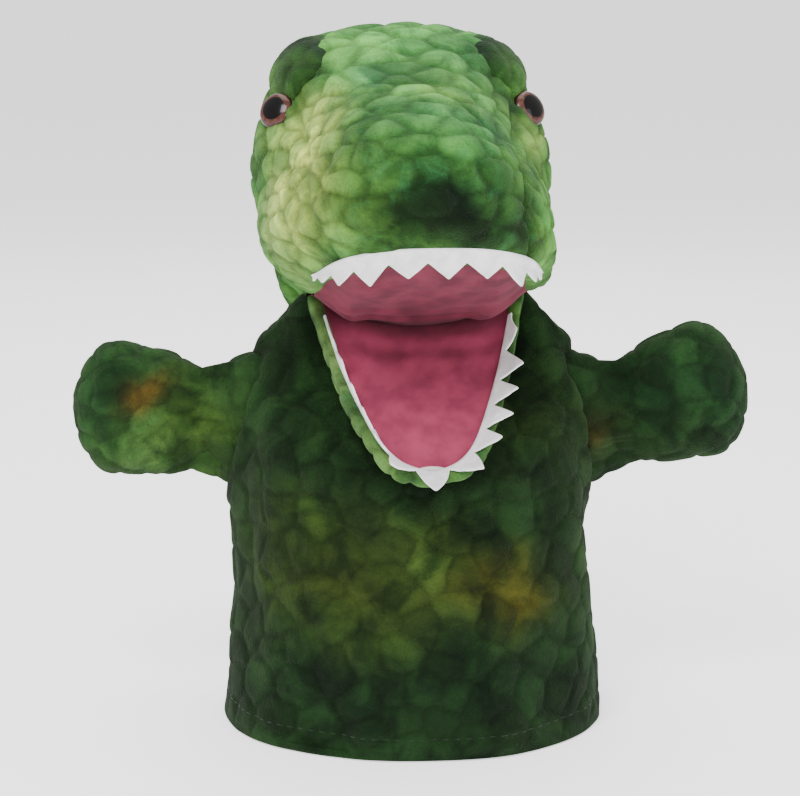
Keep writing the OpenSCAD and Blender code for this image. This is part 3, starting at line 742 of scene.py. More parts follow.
# ---- sleeve and neck
RIM_F, RIM_B, RIM_S = 100.0, 138.0, 128.0
SLEEVE = [[0, HEM_W, HEM_D, 0], [25, HEM_W - 2, HEM_D - 3, 0], [60, 67, 57, -1], [90, 66, 51, -2],
          [105, 64, 48, -3], [120, 61.5, 45, -4], [131, 59.5, 41, -2], [141, 55, 38, 0], [152, 46, 35, 0]]


def sleeve_pt(a, z):
    ar = np.radians(a)
    return np.stack([at(SLEEVE, z, 1) * sup(np.cos(ar), 2.2),
                     at(SLEEVE, z, 3) + at(SLEEVE, z, 2) * sup(np.sin(ar), 2.2), z + 0 * ar], -1)


def rim_z(a):
    ar = np.radians(a)
    mid = (RIM_F + RIM_B) / 2
    return mid + (RIM_B - mid) * np.sin(ar) + (RIM_S - mid) * np.cos(ar) ** 2


def even_angles(a0, a1, n, z):
    a = np.linspace(a0, a1, 600)
    p = sleeve_pt(a, np.full_like(a, z))
    d = run(p)
    return np.interp(np.linspace(0, d[-1], n), d, a)


def body_half(a0, a1, ring, low_z, power):
    """The cloth of one half from the hem to the ring that it is sewn to, as rows of a grid."""
    n = int(225 / STEP)
    a = even_angles(a0, a1, n, 60)
    top = resample(ring, n)
    rz = rim_z(a)
    m1, m2 = int(118 / STEP), int(44 / STEP)
    rows = [sleeve_pt(a, mix(low_z, rz, v)) for v in np.linspace(0, 1, m1)]
    base = rows[-1]
    for v in np.linspace(0, 1, m2 + 1)[1:]:
        rows.append(mix(base, top, np.array([v ** power, v ** power, v])))
    g = np.array(rows)
    keep = g[-1].copy()
    for _ in range(int(60 / STEP)):
        g = mix(g, mean_rows(g), smooth(np.arange(len(g)), m1 - 26 / STEP, m1 - 8 / STEP)[:, None, None])
        g[-1] = keep
    return g


def flesh(P):
    """Soft folds and the fullness where the arms join."""
    out = 2.2 * NA(P * [1, 1, 0.45], 34, 2) + 1.0 * NB(P * [1, 1, 0.6], 16, 2)
    for sx in (-1, 1):
        e = np.hypot((P[..., 1] - ARM_Y) / 15, (P[..., 2] - ARM_Z) / 29)
        near = np.exp(-((e - 1.0) / 0.22) ** 2) * (sx * P[..., 0] > 20)
        out = out + 2.6 * near
    return out


BODYC = lin(34, 66, 33)
BODY_PATCHES = [
    (0, -60, 30, 90, 70, 26, 24, 54, 30, 0.65), (-30, -62, 62, 40, 40, 16, 98, 108, 34, 0.45),
    (30, -58, 62, 20, 30, 12, 92, 96, 32, 0.75), (38, -55, 58, 8, 20, 6, 112, 104, 34, 0.6),
    (-42, -48, 84, 20, 30, 14, 74, 104, 40, 0.6), (6, -56, 76, 20, 24, 12, 84, 112, 50, 0.55),
    (-10, -52, 96, 18, 26, 10, 34, 66, 34, 0.6), (44, -44, 88, 16, 30, 16, 34, 70, 36, 0.6),
    (-52, -44, 50, 16, 24, 16, 52, 84, 42, 0.5), (-20, -64, 44, 26, 24, 10, 72, 104, 44, 0.5),
    (-46, -30, 120, 20, 34, 16, 44, 82, 40, 0.6), (46, -30, 118, 20, 34, 16, 58, 88, 40, 0.5),
    (0, 60, 70, 60, 30, 30, 98, 108, 34, 0.45), (-30, 60, 30, 34, 30, 18, 60, 100, 48, 0.5),
    (24, 56, 110, 34, 30, 18, 64, 108, 60, 0.5), (70, 10, 70, 20, 24, 30, 84, 104, 38, 0.5),
    (-70, 10, 60, 20, 24, 26, 56, 100, 50, 0.5),
]

ring_back = head_w[-1].copy()
ring_front = jaw_wd[0][4:-4][::-1].copy()
for i, j in ((0, -1), (-1, 0)):
    c = (ring_back[i] + ring_front[j]) / 2
    ring_back[i] = ring_front[j] = c
front, back = body_half(180, 360, ring_front, 0.5, 0.95), body_half(0, 180, ring_back, 0.5, 1.7)
BODY_C = np.array([0, 0, 70.])
n_b = back.shape[1]
tube = np.concatenate([back, front[:, 1:]], axis=1)
tube[:, -1] = tube[:, 0]


def closed(g):
    """A grid whose first column comes again as its last."""
    return np.concatenate([g, g[:, :1]], 1)


def tube_normals(g, times=3):
    """Outward normals of a closed tube whose last column is its first."""
    o = g[:, :-1]
    du = np.gradient(o, axis=0)
    dv = (np.roll(o, -1, 1) - np.roll(o, 1, 1)) / 2
    n = unit(np.cross(du, dv))
    c = g[:, :-1].mean(1, keepdims=True)
    if ((o - c) * n).sum() < 0:
        n = -n
    for _ in range(times):
        n = mean_rows((np.roll(n, 1, 1) + 2 * n + np.roll(n, -1, 1)) / 4)
    return closed(unit(n))


scales_body = Scales(tube[::4, ::4], 8.2, 13.0, 8, (0.95, 1, 1))
N = tube_normals(tube)
rows_b = np.arange(len(tube)) * STEP
top_calm = smooth(rows_b[::-1], 0, 14)[:, None] * np.ones(tube.shape[1])[None]
foot_calm = smooth(rows_b, 0, 6)[:, None]
seam_b = np.minimum(np.abs(np.arange(tube.shape[1]) - (n_b - 1)),
                    from_ends(tube.shape[1])) * STEP
seam_b = np.broadcast_to(seam_b[None], tube.shape[:2]) + 30 * (1 - smooth(rows_b[::-1], 8, 30))[:, None]
gg = tube + N * (flesh(tube) * top_calm * (0.35 + 0.65 * foot_calm))[..., None]
gg[:, -1] = gg[:, 0]
bp, bat = plush(gg, N, scales_body, 1.05, 0.7, seam_b, top_calm * foot_calm)
bp[:, -1] = bp[:, 0]
bat["tint"] = paint(tube, BODYC, BODY_PATCHES, 0.36)
for half, sl, gusset, z0, z1 in (("back", slice(0, n_b), "nape_gusset", 120, 156),
                                 ("front", slice(n_b - 1, None), "throat_gusset", 96, 130)):
    P = bp[:, sl]
    z_side = smooth(np.abs(tube[:, sl][..., 0]), 20, 58)
    lo_z, hi_z = mix(z0, 112, z_side), mix(z1, 140, z_side)
    w = smooth(tube[:, sl][..., 2], 0, 1) * smooth((tube[:, sl][..., 2] - lo_z) / (hi_z - lo_z), 0, 1)
    w[-1] = 1
    piece(f"body_{half}_skin", P, part_of(bat, ALL, sl), M_BODY, facing(P, BODY_C),
          [f"body_{half}_panel", gusset], ("sleeve", "neck"), w)

# hem: the turned edge of the cloth, a soft roll with a row of stitches
ah = even_angles(0, 360, int(430 / STEP) + 1, 20)[:-1]
prof = [(-0.6, 3.0), (-0.25, 1.2), (-0.7, 0.35), (-2.2, 0.0), (-3.6, 0.4), (-4.3, 2.0), (-4.5, 5.0), (-4.3, 8.0),
        (-3.9, 10.5)]
pr = follow(np.linspace(0, len(prof) - 1, 26), range(len(prof)), prof)
base = sleeve_pt(ah, np.full_like(ah, 9.0))
foot = sleeve_pt(ah, np.full_like(ah, 0.0))
nrm = unit(np.cross(np.roll(base, -1, 0) - np.roll(base, 1, 0), [0, 0, 1]))
hem = []
for off, z in pr:
    p = mix(foot, base, min(1, max(0, z / 9.0))).copy()
    p[:, 2] = z
    hem.append(p + nrm * off)
hem = np.array(hem)
hem_p = hem + nrm[None] * (0.5 * NB(hem, 18, 2))[..., None] * smooth(hem[..., 2], 0.2, 4)[..., None]
gapd, _, rnd = scales_body(hem)
# edge is lowest in the grooves, where the material darkens the colour as painted shade
hat2 = {"rest": hem / 1000, "edge": 1 - 0.8 * np.exp(-(gapd / 2.6) ** 2), "cell": rnd[..., 0],
        "tint": paint(hem, BODYC, BODY_PATCHES, 0.34)}
piece("hem_roll", closed(hem_p), {k: closed(v) for k, v in hat2.items()}, M_BODY, False, ["hem_band"],
      "sleeve")


def stitches(name, path, normals, length, gap_, radius, lift):
    """Short raised threads along a path."""
    d = run(path)
    count = int(d[-1] / (length + gap_))
    parts = []
    for k in range(count):
        c = (k + 0.5) * d[-1] / count
        xs = c + np.linspace(-0.5, 0.5, 7) * length
        p, nn = follow(xs, d, path), unit(follow(xs, d, normals))
        tt = unit(np.gradient(p, axis=0))
        bb = np.cross(tt, nn)
        arch = np.cos(np.linspace(-1.45, 1.45, 7))
        r = radius * (0.35 + 0.65 * arch)
        ang = np.linspace(0, 2 * math.pi, 7)
        ring = (p + nn * (lift * arch)[:, None])[:, None] + (
            nn[:, None] * np.sin(ang)[None, :, None] + bb[:, None] * np.cos(ang)[None, :, None]) * r[:, None, None]
        parts.append({"P": ring, "attrs": {"rest": ring / 1000}})
    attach(build(name, parts, M_THREAD), "sleeve")


r9 = int(9 / STEP)
stitches("hem_stitches", bp[r9], N[r9], 2.4, 1.9, 0.17, 0.02)
k6 = int(np.argmin(np.abs(pr[:, 1] - 8.0) + 9 * (pr[:, 0] > -2)))
stitches("hem_stitches_inside", np.concatenate([hem_p[k6], hem_p[k6][:1]]), -np.concatenate([nrm, nrm[:1]]),
         2.4, 1.7, 0.26, 0.2)

# inner lining, seen from below
for name, a0, a1 in (("lining_front", 180, 360), ("lining_back", 0, 180)):
    n = int(190 / (STEP * 1.6))
    a = even_angles(a0, a1, n, 60)
    g = np.array([sleeve_pt(a, mix(7.5, rim_z(a) - 1.5, v)) for v in np.linspace(0, 1, int(116 / (STEP * 1.6)))])
    N = outward(g, (0, 0, 60))
    fade = smooth(np.arange(len(g)), 0, 8)[:, None]
    side = smooth(from_ends(n), 0, 6)[None]
    fold_ = -4.6 - side * fade * (1.2 + 1.2 * NC(g * [1, 1, 0.5], 20, 3) + 0.5 * NA(g * [1, 1, 0.25], 9, 2))
    p = g + N * fold_[..., None]
    ob = piece(name, p, {"rest": p / 1000}, M_LINING, not facing(p, BODY_C), [f"{name}_panel"],
               "sleeve")

# blank care label
lo, hi = box_mm("care_label")
u, v = np.meshgrid(np.linspace(0, 1, 26), np.linspace(0, 1, 30), indexing="ij")
lab = np.stack([mix(lo[0], hi[0], u), mix(lo[1] + 0.3, lo[1] - 1.2, v) - 1.2 * np.sin(v * 3.1) * (0.6 + 0.4 * u)
                + 0.25 * NA(np.stack([u, v, u], -1) * 20, 8, 1), mix(hi[2], lo[2], v)], -1)
label = piece("care_label_tab", lab, {"rest": lab / 1000}, M_TAPE, False, ["care_label"], "sleeve")
label.modifiers.new("thick", "SOLIDIFY").thickness = 0.0003


# ---- arms
ARM = [[0, 0.80, 0.55], [0.18, 0.93, 0.82], [0.45, 0.98, 1.0], [0.68, 1.0, 1.0], [0.82, 0.84, 0.84],
       [0.94, 0.48, 0.52], [1, 0.05, 0.06]]
REACH, ELBOW, HALF_H, HALF_T = 128.0, 82.0, 25.5, 15.0


def arm_raw(u, a):
    """Along an arm from its shoulder: u is 0 at the start of the stuffed part and 1 at its tip."""
    ar = np.radians(a)
    h, b = HALF_H * at(ARM, u, 1), HALF_T * at(ARM, u, 2)
    return np.stack([mix(ELBOW, REACH, u) + 0 * ar, b * sup(np.cos(ar), 2.1),
                     h * sup(np.sin(ar), 2.3) + 2.5 * u], -1)


def raised(p, lift):
    c, s = math.cos(math.radians(lift)), math.sin(math.radians(lift))
    return np.stack([SWING + (p[..., 0] - SWING) * c - p[..., 2] * s, p[..., 1] + ARM_Y,
                     ARM_Z + (p[..., 0] - SWING) * s + p[..., 2] * c], -1)


def armhole(a):
    ar = np.radians(a)
    y, z = 13.5 * sup(np.cos(ar), 2.1) + ARM_Y, ARM_Z + 28 * sup(np.sin(ar), 2.3)
    w, d, m = at(SLEEVE, z, 1), at(SLEEVE, z, 2), at(SLEEVE, z, 3)
    return np.stack([w * np.maximum(0, 1 - (np.abs(y - m) / d) ** 2.2) ** (1 / 2.2), y, z], -1)


ARM_PATCHES = {
    1: [
        (67, -14, 113, 8, 16, 9, 84, 68, 36, 0.75), (104, -16, 126, 22, 20, 14, 40, 86, 48, 0.6),
        (100, -16, 104, 18, 20, 12, 40, 74, 36, 0.5), (120, -10, 124, 14, 20, 20, 36, 74, 42, 0.5),
        (72, -14, 124, 12, 20, 12, 28, 62, 30, 0.6),
    ],
    -1: [
        (-99, -17, 127, 10, 14, 6, 128, 90, 36, 0.8), (-94, -17, 102, 18, 16, 10, 96, 136, 76, 0.8),
        (-114, -15, 108, 14, 20, 12, 50, 88, 38, 0.6), (-82, -14, 110, 13, 20, 20, 82, 116, 50, 0.7),
        (-118, -12, 124, 14, 20, 14, 36, 74, 40, 0.6), (-78, -14, 128, 14, 18, 10, 34, 66, 34, 0.6),
    ],
}
for side, label_, lift in ((1, "left", 13.0), (-1, "right", 4.0)):
    rows_a, rows_s = int(62 / STEP), int(24 / STEP)
    a = np.linspace(-90, 270, 721)
    cols = int(124 / STEP) // 2 * 2 + 1
    half = (cols + 1) // 2

    def ring_of(p):
        """Half the points on the back of the arm and half on its front, so that seams keep their columns."""
        mid = len(a) // 2
        return np.concatenate([resample(p[:mid + 1], half), resample(p[mid:], half)[1:]])

    stuffed = [ring_of(raised(arm_raw(u, a), lift)) for u in np.sin(np.radians(np.linspace(0, 88.5, rows_a)))]
    root = ring_of(armhole(a) - [5.0, 0, 0])
    g = np.array([mix(root, stuffed[0], v) for v in np.linspace(0, 1, rows_s, endpoint=False)] + stuffed)
    keep = g[0].copy()
    for _ in range(int(16 / STEP)):
        mid = mean_rows(g)
        mid[:, 0] = mid[:, -1]
        k = (1 - smooth(np.arange(len(g)), rows_s + 12 / STEP, rows_s + 26 / STEP))[:, None, None]
        g = mix(g, mid, k)
    g[0] = keep
    # pinched cloth where the arm is sewn in
    ang = np.arctan2(g[..., 2] - ARM_Z, (g[..., 1] - ARM_Y) * 1.8)
    pinch = np.exp(-((g[..., 0] - 76) / 9) ** 2)
    mid_z = ARM_Z + (g[..., 0] - SWING) * math.sin(math.radians(lift))
    ray = unit(np.stack([0 * mid_z, g[..., 1] - ARM_Y, g[..., 2] - mid_z], -1))
    pleat = NA(np.stack([np.cos(ang) * 30, np.sin(ang) * 30, g[..., 0] * 0.25], -1), 9, 2)
    g = g + ray * (pinch * (-2.0 + 2.6 * pleat))[..., None]
    if side < 0:
        g = g * [-1, 1, 1]
    ctr = np.array([side * 100, ARM_Y, ARM_Z + 6])
    N = grid_normals(g)
    if ((g[rows_s:] - ctr) * N[rows_s:]).sum() < 0:
        N = -N
    N[:, 0] = N[:, -1] = unit(N[:, 1] + N[:, -2])
    N = unit(blur(N, 2, keep_edges=False))
    N[:, 0] = N[:, -1] = unit(N[:, 1] + N[:, -2])
    scales_arm = Scales(g[::2, ::2], 7.5, 11.5, 20 + side)
    seam = np.minimum(from_ends(cols), np.abs(np.arange(cols) - (half - 1))) * STEP
    seam = np.broadcast_to(seam[None], g.shape[:2]) + np.clip(74 - np.abs(g[..., 0]), 0, 60)
    tipc = smooth(np.arange(len(g))[::-1] * STEP, 0, 4)[:, None] * np.ones(cols)[None]
    p, at_ = plush(g, N, scales_arm, 0.95, 0.55, seam, tipc)
    p[:, 0] = p[:, -1] = (p[:, 0] + p[:, -1]) / 2
    at_["tint"] = paint(g, BODYC, ARM_PATCHES[side], 0.54 if side < 0 else 0.38)
    p[-1] = p[-1].mean(0) + (p[-1].mean(0) - p[-2].mean(0)) * 0.3
    x_abs = np.abs(g[..., 0])
    cut = int(rows_s * 0.72)
    wa = smooth(x_abs, 72, 86)
    ws = smooth(x_abs, 60, 71.5)
    wa[cut] = 0
    ws[cut] = 1
    wa[:cut] = 0
    ws[cut:] = 1
    piece(f"{label_}_shoulder_skin", p[:cut + 1], part_of(at_, slice(cut + 1)), M_BODY,
          facing(p[:cut + 1], ctr * [0.75, 1, 1]), [f"{label_}_shoulder_gusset"],
          ("sleeve", f"{label_}_shoulder"), ws[:cut + 1])
    for part_, sl in (("front", slice(half - 1, cols)), ("back", slice(0, half))):
        piece(f"{label_}_arm_{part_}_skin", p[cut:, sl], part_of(at_, slice(cut, None), sl), M_BODY,
              facing(p[cut:, sl], ctr), [f"{label_}_arm_{part_}_panel"],
              (f"{label_}_shoulder", f"{label_}_arm"), wa[cut:, sl])


# ---- mouth linings
def fan(outline):
    """Scaled copies of an outline about the middle of the crease, and how far in each point lies."""
    o = resample(outline, int(190 / STEP))
    lam = np.sin(np.radians(np.linspace(0.2, 90, int(60 / STEP))))
    return np.array([o * k for k in lam]), (1 - lam)[:, None] * np.ones(len(o))[None]


tl = np.linspace(0, 180, 400)
roof_line = np.stack([(HALF - 2.2) * sup(np.cos(np.radians(tl)), 2.9),
                      -(ROOF - 2.2) * np.maximum(np.sin(np.radians(tl)), 0) ** (2 / 2.9), 0 * tl], -1)
g, dist = fan(roof_line)
crease = np.exp(-(g[..., 1] / 7) ** 2)
puffs = 1.0 * NA(g, 22, 2) + 0.35 * NB(g, 7, 2)
g[..., 2] += 0.6 - 2.1 * smooth(dist, 0.0, 0.35) + 0.8 * puffs * smooth(dist, 0, 0.2)
g[..., 2] += crease * (-1.0 + 0.6 * NC(g, 12, 2))
wr = 0.7 * np.sin(g[..., 1] * 0.62 + 2 * NB(g, 30, 1)) * np.exp(-((g[..., 1] + 14) / 13) ** 2)
g[..., 2] += wr * smooth(dist, 0, 0.15)


def set_back(w, crease, dist):
    """Moves a lining 5 mm back at the crease, less so at its very edge."""
    return w + rot_z((crease * np.where(dist > 0.02, 1, 0.3))[..., None] * np.array([0, 5.0, 0]), YAW)


def to_crease(w, flat):
    """Brings both linings to one curve where they are joined, deep in the corner of the mouth."""
    x = np.clip(flat[..., 0], -HALF, HALF)
    line = np.stack([x, 5.5 * (1 - (x / HALF) ** 4), -0.8 + 0 * x], -1)
    line = corner_pull(rot_z(line, YAW) + HINGE)
    k = (1 - smooth(-flat[..., 1], 0.0, 7.0))[..., None]
    return mix(w, line, k)


up_w = set_back(corner_pull(head_world(lip_curl(g))), crease, dist)
# the roof hangs over the ends of the finger pocket
for c in ((-27.5, -33, 160.5), (32, -28, 160.5)):
    d = np.linalg.norm((up_w - np.array(c)) / [11, 15, 14], axis=-1)
    up_w = up_w - np.array([0, 0, 3.4]) * np.exp(-(d**4))[..., None]
up_w = to_crease(up_w, g)
w_up = smooth(-g[..., 1], 1.5, 16) * corner_free(head_world(g * [1, 1, 0]))
upper_lining = piece("upper_mouth_cloth", up_w, {"rest": g / 1000}, M_ROOF_SHADED, False,
                     ["upper_mouth_lining", "mouth_crease_tape"], ("neck", "head"), w_up)

ss = np.linspace(0, JAW * 0.985, 160)
jl = np.stack([np.maximum(jaw_w(ss) - 2.6, 0.5), -ss * (JAW - 2.8) / JAW, 0 * ss], -1)
jaw_line = np.concatenate([jl, jl[::-1] * [-1, 1, 1]])
g2, dist2 = fan(jaw_line)
crease2 = np.exp(-(g2[..., 1] / 7) ** 2)
puffs2 = 0.8 * NC(g2, 24, 2) + 0.3 * NA(g2, 7, 2)
g2[..., 2] += -0.6 + 1.4 * smooth(dist2, 0.0, 0.35) + puffs2 * smooth(dist2, 0, 0.2)
wr2 = 0.5 * np.sin(g2[..., 1] * 0.55 + 2.2 * NA(g2, 26, 1)) * np.exp(-((g2[..., 1] + 10) / 12) ** 2)
g2[..., 2] += wr2 * smooth(dist2, 0, 0.15)
g2[..., 2] += crease2 * 1.5
lo_w = to_crease(set_back(corner_pull(jaw_world(g2)), crease2, dist2), g2)
w_lo = smooth(-g2[..., 1], 1.5, 16) * corner_free(jaw_world(g2 * [1, 1, 0]))
lower_lining = piece("lower_mouth_cloth", lo_w, {"rest": g2 / 1000 + 0.3}, M_PINK, True, ["lower_mouth_lining"],
                     ("neck", "jaw"), w_lo)


# ---- felt teeth
def zigzag(curve, normals, up, lean, height, pitch, base_, thick, phase=0.0, seed=3, above=None):
    """A felt strip with a cut zigzag edge that follows a lip, as one closed grid along the lip."""
    d = run(curve)
    teeth = int(d[-1] / pitch / 2) * 2 + 1
    step = d[-1] / teeth / 26
    x = np.arange(0, d[-1] + step / 2, step)
    C, O = follow(x, d, curve), unit(follow(x, d, normals))
    L = np.interp(x, d, lean)
    H = np.interp(x, d, height)
    B = np.interp(x, d, np.broadcast_to(base_, len(curve)))
    f = (x / (d[-1] / teeth) + phase) % 1.0
    r = np.random.default_rng(seed)
    which = np.floor(x / (d[-1] / teeth) + phase).astype(int)
    var = r.uniform(0.86, 1.12, teeth + 3)[which]
    tip_lean = r.uniform(-0.22, 0.22, teeth + 3)[which]
    tri = 1 - np.abs(2 * f - 1)
    edge = 0.5 + H * var * np.clip(tri, 0, 0.965)
    D = unit(np.array(up, float)[None] + O * (L + 0 * x)[:, None])
    T = unit(np.cross(D, O))
    F = unit(np.cross(T, D))
    F = np.where((F * O).sum(-1, keepdims=True) < 0, -F, F)
    A = D if above is None else -unit(np.array(up, float)[None] * -above[0] + O * above[1])
    vs = np.array([0, 0.15, 0.3, 0.42, 0.55, 0.7, 0.85, 0.95, 1.0])
    prof = [(v, 0.0) for v in vs] + [(v, 1.0) for v in vs[::-1]]
    P = np.empty((len(x), len(prof), 3))
    for k, (v, side_) in enumerate(prof):
        along = -B + v * (edge + B)
        th = thick * (1 - 0.35 * v) * side_ + (0.12 * thick * (1 - 2 * side_) if v == 1 else 0)
        curl = (np.clip(along, 0, None) / np.maximum(H, 1)) ** 2 * tip_lean * H * 0.5
        wobble = 0.25 * NA(C + along[:, None], 5, 2) * v
        down, up_ = np.maximum(along, 0)[:, None], np.maximum(-along, 0)[:, None]
        P[:, k] = C + D * down - A * up_ + F * (th + curl + wobble)[:, None]
    return P


def in_plane_normals(c):
    t = unit(np.gradient(c, axis=0))
    n = np.stack([-t[:, 1], t[:, 0], 0 * t[:, 0]], -1)
    return n if (n * (c - c.mean(0))).sum() > 0 else -n


tt = np.linspace(25, 155, 300)
lip = np.stack([(HALF + 0.9) * sup(np.cos(np.radians(tt)), 2.9),
                -(ROOF + 0.2) * np.sin(np.radians(tt)) ** (2 / 2.9), 0 * tt - 0.2], -1)
lip = resample(lip, 300)
nl = in_plane_normals(lip)
lip = lip_curl(lip)
ends = smooth(from_ends(300) / 300, 0.03, 0.27)
P = zigzag(lip, nl, (0, 0, -1), np.full(300, 0.14), 6.4 * (0.3 + 0.7 * ends), 13.2, 0.7 + 3.7 * ends, 1.3, 0.25, 4,
           (1.0, 0.95))
piece("upper_felt_teeth", corner_pull(head_world(P)), {"rest": P / 1000}, M_FELT, False, ["upper_teeth"],
      ("neck", "head"), corner_free(head_world(P)), loop=True)

s2 = np.linspace(0.10, 0.992, 260) * JAW
lip2 = np.stack([np.maximum(jaw_w(s2) - 3.9, 1.0), -s2 * (JAW - 3.0) / JAW, 0 * s2 + 1.0], -1)
lip2 = resample(np.concatenate([lip2, lip2[::-1] * [-1, 1, 1]]), 420)
nl2 = in_plane_normals(lip2)
turn = np.exp(-np.abs(np.arange(-25, 26)) / 9.0)
nl2 = unit(np.stack([np.convolve(np.pad(nl2[:, i], 25, "edge"), turn / turn.sum(), "valid") for i in range(3)], -1))
frac = np.linspace(0, 1, 420)
lean2 = np.interp(frac, [0, 0.12, 0.40, 0.5, 0.58, 0.68, 1], [0.8, 1.6, 1.6, 2.3, 0.9, 0.22, 0.15])
h2 = 9.4 * np.interp(frac, [0, 0.10, 0.5, 0.6, 0.90, 1], [0.05, 1, 1.05, 0.75, 0.6, 0.05])
P = zigzag(lip2, nl2, (0, 0, 1), lean2, h2, 11.0, 1.2, 1.2, 0.0, 9)
piece("lower_felt_teeth", corner_pull(jaw_world(P)), {"rest": P / 1000 + 0.2}, M_FELT, False, ["lower_teeth"],
      ("neck", "jaw"), corner_free(jaw_world(P)), loop=True)


# ---- eyes and brows
for label_, t in (("left", EYE_T), ("right", 180 - EYE_T)):
    c, d = eye_frame(t)
    cw, dw = head_world(c), head_turn(d)
    rel = hp.reshape(-1, 3) - cw
    along = rel @ dw
    radial = np.linalg.norm(rel - along[:, None] * dw, axis=1)
    c = c + d * (np.percentile(along[(radial < EYE_R * 0.95) & (along > -14)], 72) - 0.6)
    e1 = unit(np.cross(d, [0, 0, 1.0]))
    e2 = np.cross(e1, d)
    ang = np.linspace(0, 2 * math.pi, 49)
    pol = np.radians(np.linspace(0.5, 90, 26))
    circle = e1[None] * np.cos(ang)[:, None] + e2[None] * np.sin(ang)[:, None]
    dome = [c + d * (EYE_R * 0.46 * math.cos(q)) + circle * (EYE_R * math.sin(q)) for q in pol]
    dome.append(dome[-1] - d * 4.0)
    dome = np.array(dome)
    ring = np.r_[np.sin(pol), 1.0][:, None] * np.ones(49)[None]
    W = head_world(dome)
    piece(f"{label_}_eye_dome", W, {"rest": W / 1000, "ring": ring}, M_EYE, facing(W, head_world(c - d * 6)),
          [f"{label_}_eye"], "head")
    # brow: a dark stuffed hood that overhangs the eye
    left = t < 90
    nb = int(46 / STEP)
    mb = int(34 / STEP)
    aa = np.linspace(58, 94, nb)
    tb = np.linspace(37, 79, mb) if left else 180 - np.linspace(37, 79, mb)
    B = head_pt(aa[:, None], tb[None])
    Nb = outward(head_world(B), HEAD_C)
    u, v = np.meshgrid(np.linspace(0, 1, nb), np.linspace(0, 1, mb), indexing="ij")
    e = np.clip(1 - (np.abs(2 * u - 1) ** 2.6 + np.abs(2 * v - 1) ** 2.6), 0, 1)
    hgt = -1.6 + 4.4 * e ** 0.5 * (1.0 - 0.55 * v)
    Wb = head_world(B) + Nb * hgt[..., None]
    Wb = Wb + head_turn([0, -4.5, -1.0]) * (e ** 0.7 * (1 - u))[..., None]
    N2 = outward(Wb, HEAD_C)
    sb = Scales(Wb[::2, ::2], 8, 11, 40 + int(left))
    pb, ab = plush(Wb, unit(blur(N2, 2)), sb, 1.0, 0.5, None, smooth(e, 0, 0.3))
    # painted shade on the hood, darkest across its middle and at its lower inner corner, below its overhang
    deep = (np.exp(-((u - 0.40) / 0.30) ** 2 - ((v - 0.62) / 0.36) ** 2)
            + 0.8 * np.exp(-((u - 0.10) / 0.22) ** 2 - ((v - 0.9) / 0.2) ** 2))
    ab["tint"] = mix(np.array(lin(62, 104, 48)), np.array(lin(16, 42, 24)), np.clip(deep, 0, 1)[..., None])
    ab["tint"] = mix(ab["tint"], np.array(lin(88, 136, 70)), (0.9 * smooth(u, 0.62, 1.0))[..., None]) * 0.8
    # edge is lowered at the hood's border, so the material darkens it there: painted shade where the hood meets the
    # head
    ab["edge"] = ab["edge"] * (0.55 + 0.45 * smooth(e, 0, 0.25))
    piece(f"{label_}_brow_hood", pb, ab, M_BROW, facing(pb, HEAD_C), [f"{label_}_brow"],
          "head")


# ---- pieces inside
for name, mat in (("left_arm_filling", M_FILL), ("right_arm_filling", M_FILL),
                  ("finger_pocket", M_POCKET), ("thumb_pocket", M_POCKET), ("left_eye_washer", M_WASHER),
                  ("right_eye_washer", M_WASHER)):
    o = frame["nodes"][name]
    for i in range(len(o.data.materials)):
        o.data.materials[i] = mat
# the fillings of the head and the jaw follow the cloth round them, the curled lip as well
ends_h, ends_j = c_side * 0.55, jaw_all.shape[1] * 0.16
for label_, skin, normals, centre, rows, cols, depth, thick in (
        ("head", head_w, N_HEAD, HEAD_C, np.searchsorted(a_all, np.linspace(9, 118, 40)),
         np.linspace(ends_h, N_H - 1 - ends_h, 70), 5.0, 7.0),
        ("jaw", jaw_wd, N_JAW, JAW_C, np.linspace(rows_j * 0.22, rows_j * 0.86, 24),
         np.linspace(ends_j, jaw_all.shape[1] - ends_j, 36), 3.6, 2.4)):
    pick = np.ix_(rows.astype(int), cols.astype(int))
    outer = skin[pick] - normals[pick] * depth
    inner = outer - normals[pick] * (thick * np.sin(np.linspace(0, math.pi, len(cols))))[None, :, None]
    fill = np.concatenate([outer, inner[::-1], outer[:1]])
    piece(f"{label_}_fibre_filling", fill, {"rest": fill / 1000}, M_FILL, facing(outer, centre),
          [f"{label_}_filling"], label_)
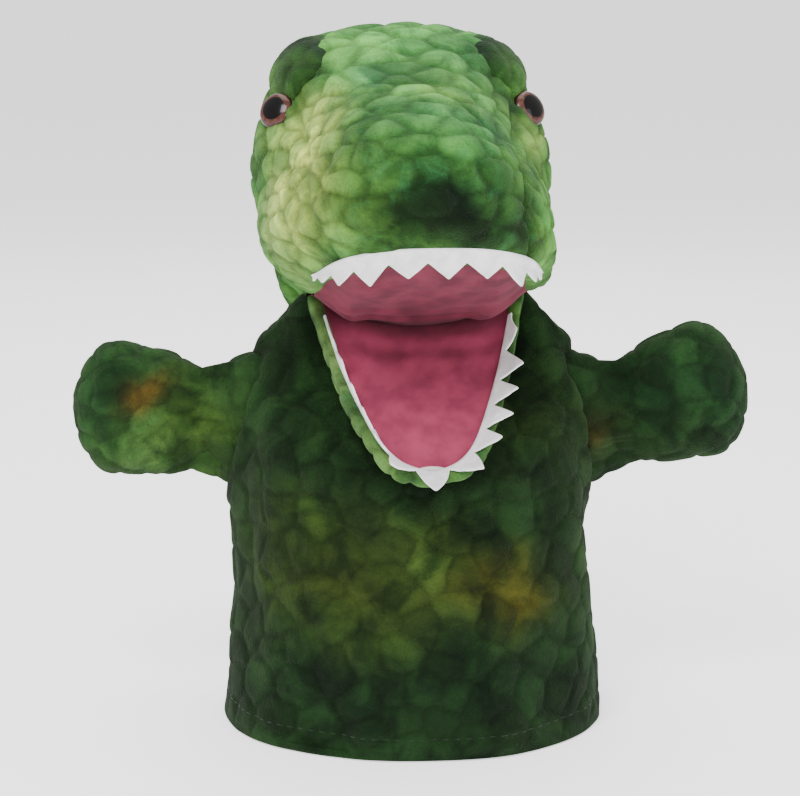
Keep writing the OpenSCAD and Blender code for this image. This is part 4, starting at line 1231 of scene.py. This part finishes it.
for name, line, place, z0, body in (("upper", roof_line, head_world, 2.2, "head"),
                                    ("lower", jaw_line, jaw_world, -3.4, "jaw")):
    o = resample(line, 121)
    o = o * [0.66, 0.74, 1] - [0, 17.0 if place is head_world else 13.0, 0]
    steps = ((0, 0), (0.5, 0), (0.97, 0), (1, 0.3), (1, 1.3), (0.97, 1.6), (0.5, 1.6), (0, 1.6))
    rows = [o * [k, 1, 1] + [0, 0, z0 + z] for k, z in steps]
    W = corner_pull(place(lip_curl(np.array(rows)) if body == "head" else np.array(rows)))
    piece(f"{name}_board", W, {"rest": W / 1000}, M_BOARD, False, [f"{name}_mouth_board"], body)

# ---- stage, light and camera
floor_mat = Shader("floor").finish((0.93, 0.93, 0.93), {"Roughness": 0.75, "Emission Color": (1.0, 1.0, 1.0),
                                                        "Emission Strength": 0.95})
me = bpy.data.meshes.new("floor")
me.from_pydata([(-40, -40, 0), (40, -40, 0), (40, 40, 0), (-40, 40, 0)], [], [(0, 1, 2, 3)])
me.materials.append(floor_mat)
floor = bpy.data.objects.new("floor", me)
bpy.context.scene.collection.objects.link(floor)
floor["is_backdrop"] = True

world = bpy.data.worlds.new("studio")
bpy.context.scene.world = world
world.use_nodes = True
world.node_tree.nodes["Background"].inputs[0].default_value = (1, 1, 1, 1)
world.node_tree.nodes["Background"].inputs[1].default_value = 0.75


def area_light(name, loc, aim, size, power, size_y=None):
    l = bpy.data.lights.new(name, "AREA")
    l.energy, l.size = power, size
    if size_y:
        l.shape, l.size_y = "RECTANGLE", size_y
    o = bpy.data.objects.new(name, l)
    o.location = loc
    o.rotation_euler = (Vector(aim) - Vector(loc)).to_track_quat("-Z", "Y").to_euler()
    bpy.context.scene.collection.objects.link(o)


area_light("key", (-0.35, -0.9, 1.15), (0, 0, 0.14), 0.6, 20)
area_light("catch", (0.05, -1.1, 0.45), (0, 0, 0.22), 0.05, 1.1)
area_light("fill", (0.9, -0.9, 0.5), (0, 0, 0.12), 0.9, 8)
area_light("top", (0, 0.25, 1.3), (0, 0, 0.12), 0.9, 11)
area_light("back", (0, 1.0, 0.9), (0, 0, 0.15), 0.8, 5)

cam_data = bpy.data.cameras.new("camera")
cam_data.sensor_width, cam_data.lens = 36.0, 107.1
cam = bpy.data.objects.new("camera", cam_data)
aim = Vector((-0.0045, 0.0, 0.1204))
elev = math.radians(11)
cam.location = aim + Vector((0, -math.cos(elev), math.sin(elev))) * 0.9
cam.rotation_euler = (aim - cam.location).to_track_quat("-Z", "Y").to_euler()
bpy.context.scene.collection.objects.link(cam)
bpy.context.scene.camera = cam

lo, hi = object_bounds()
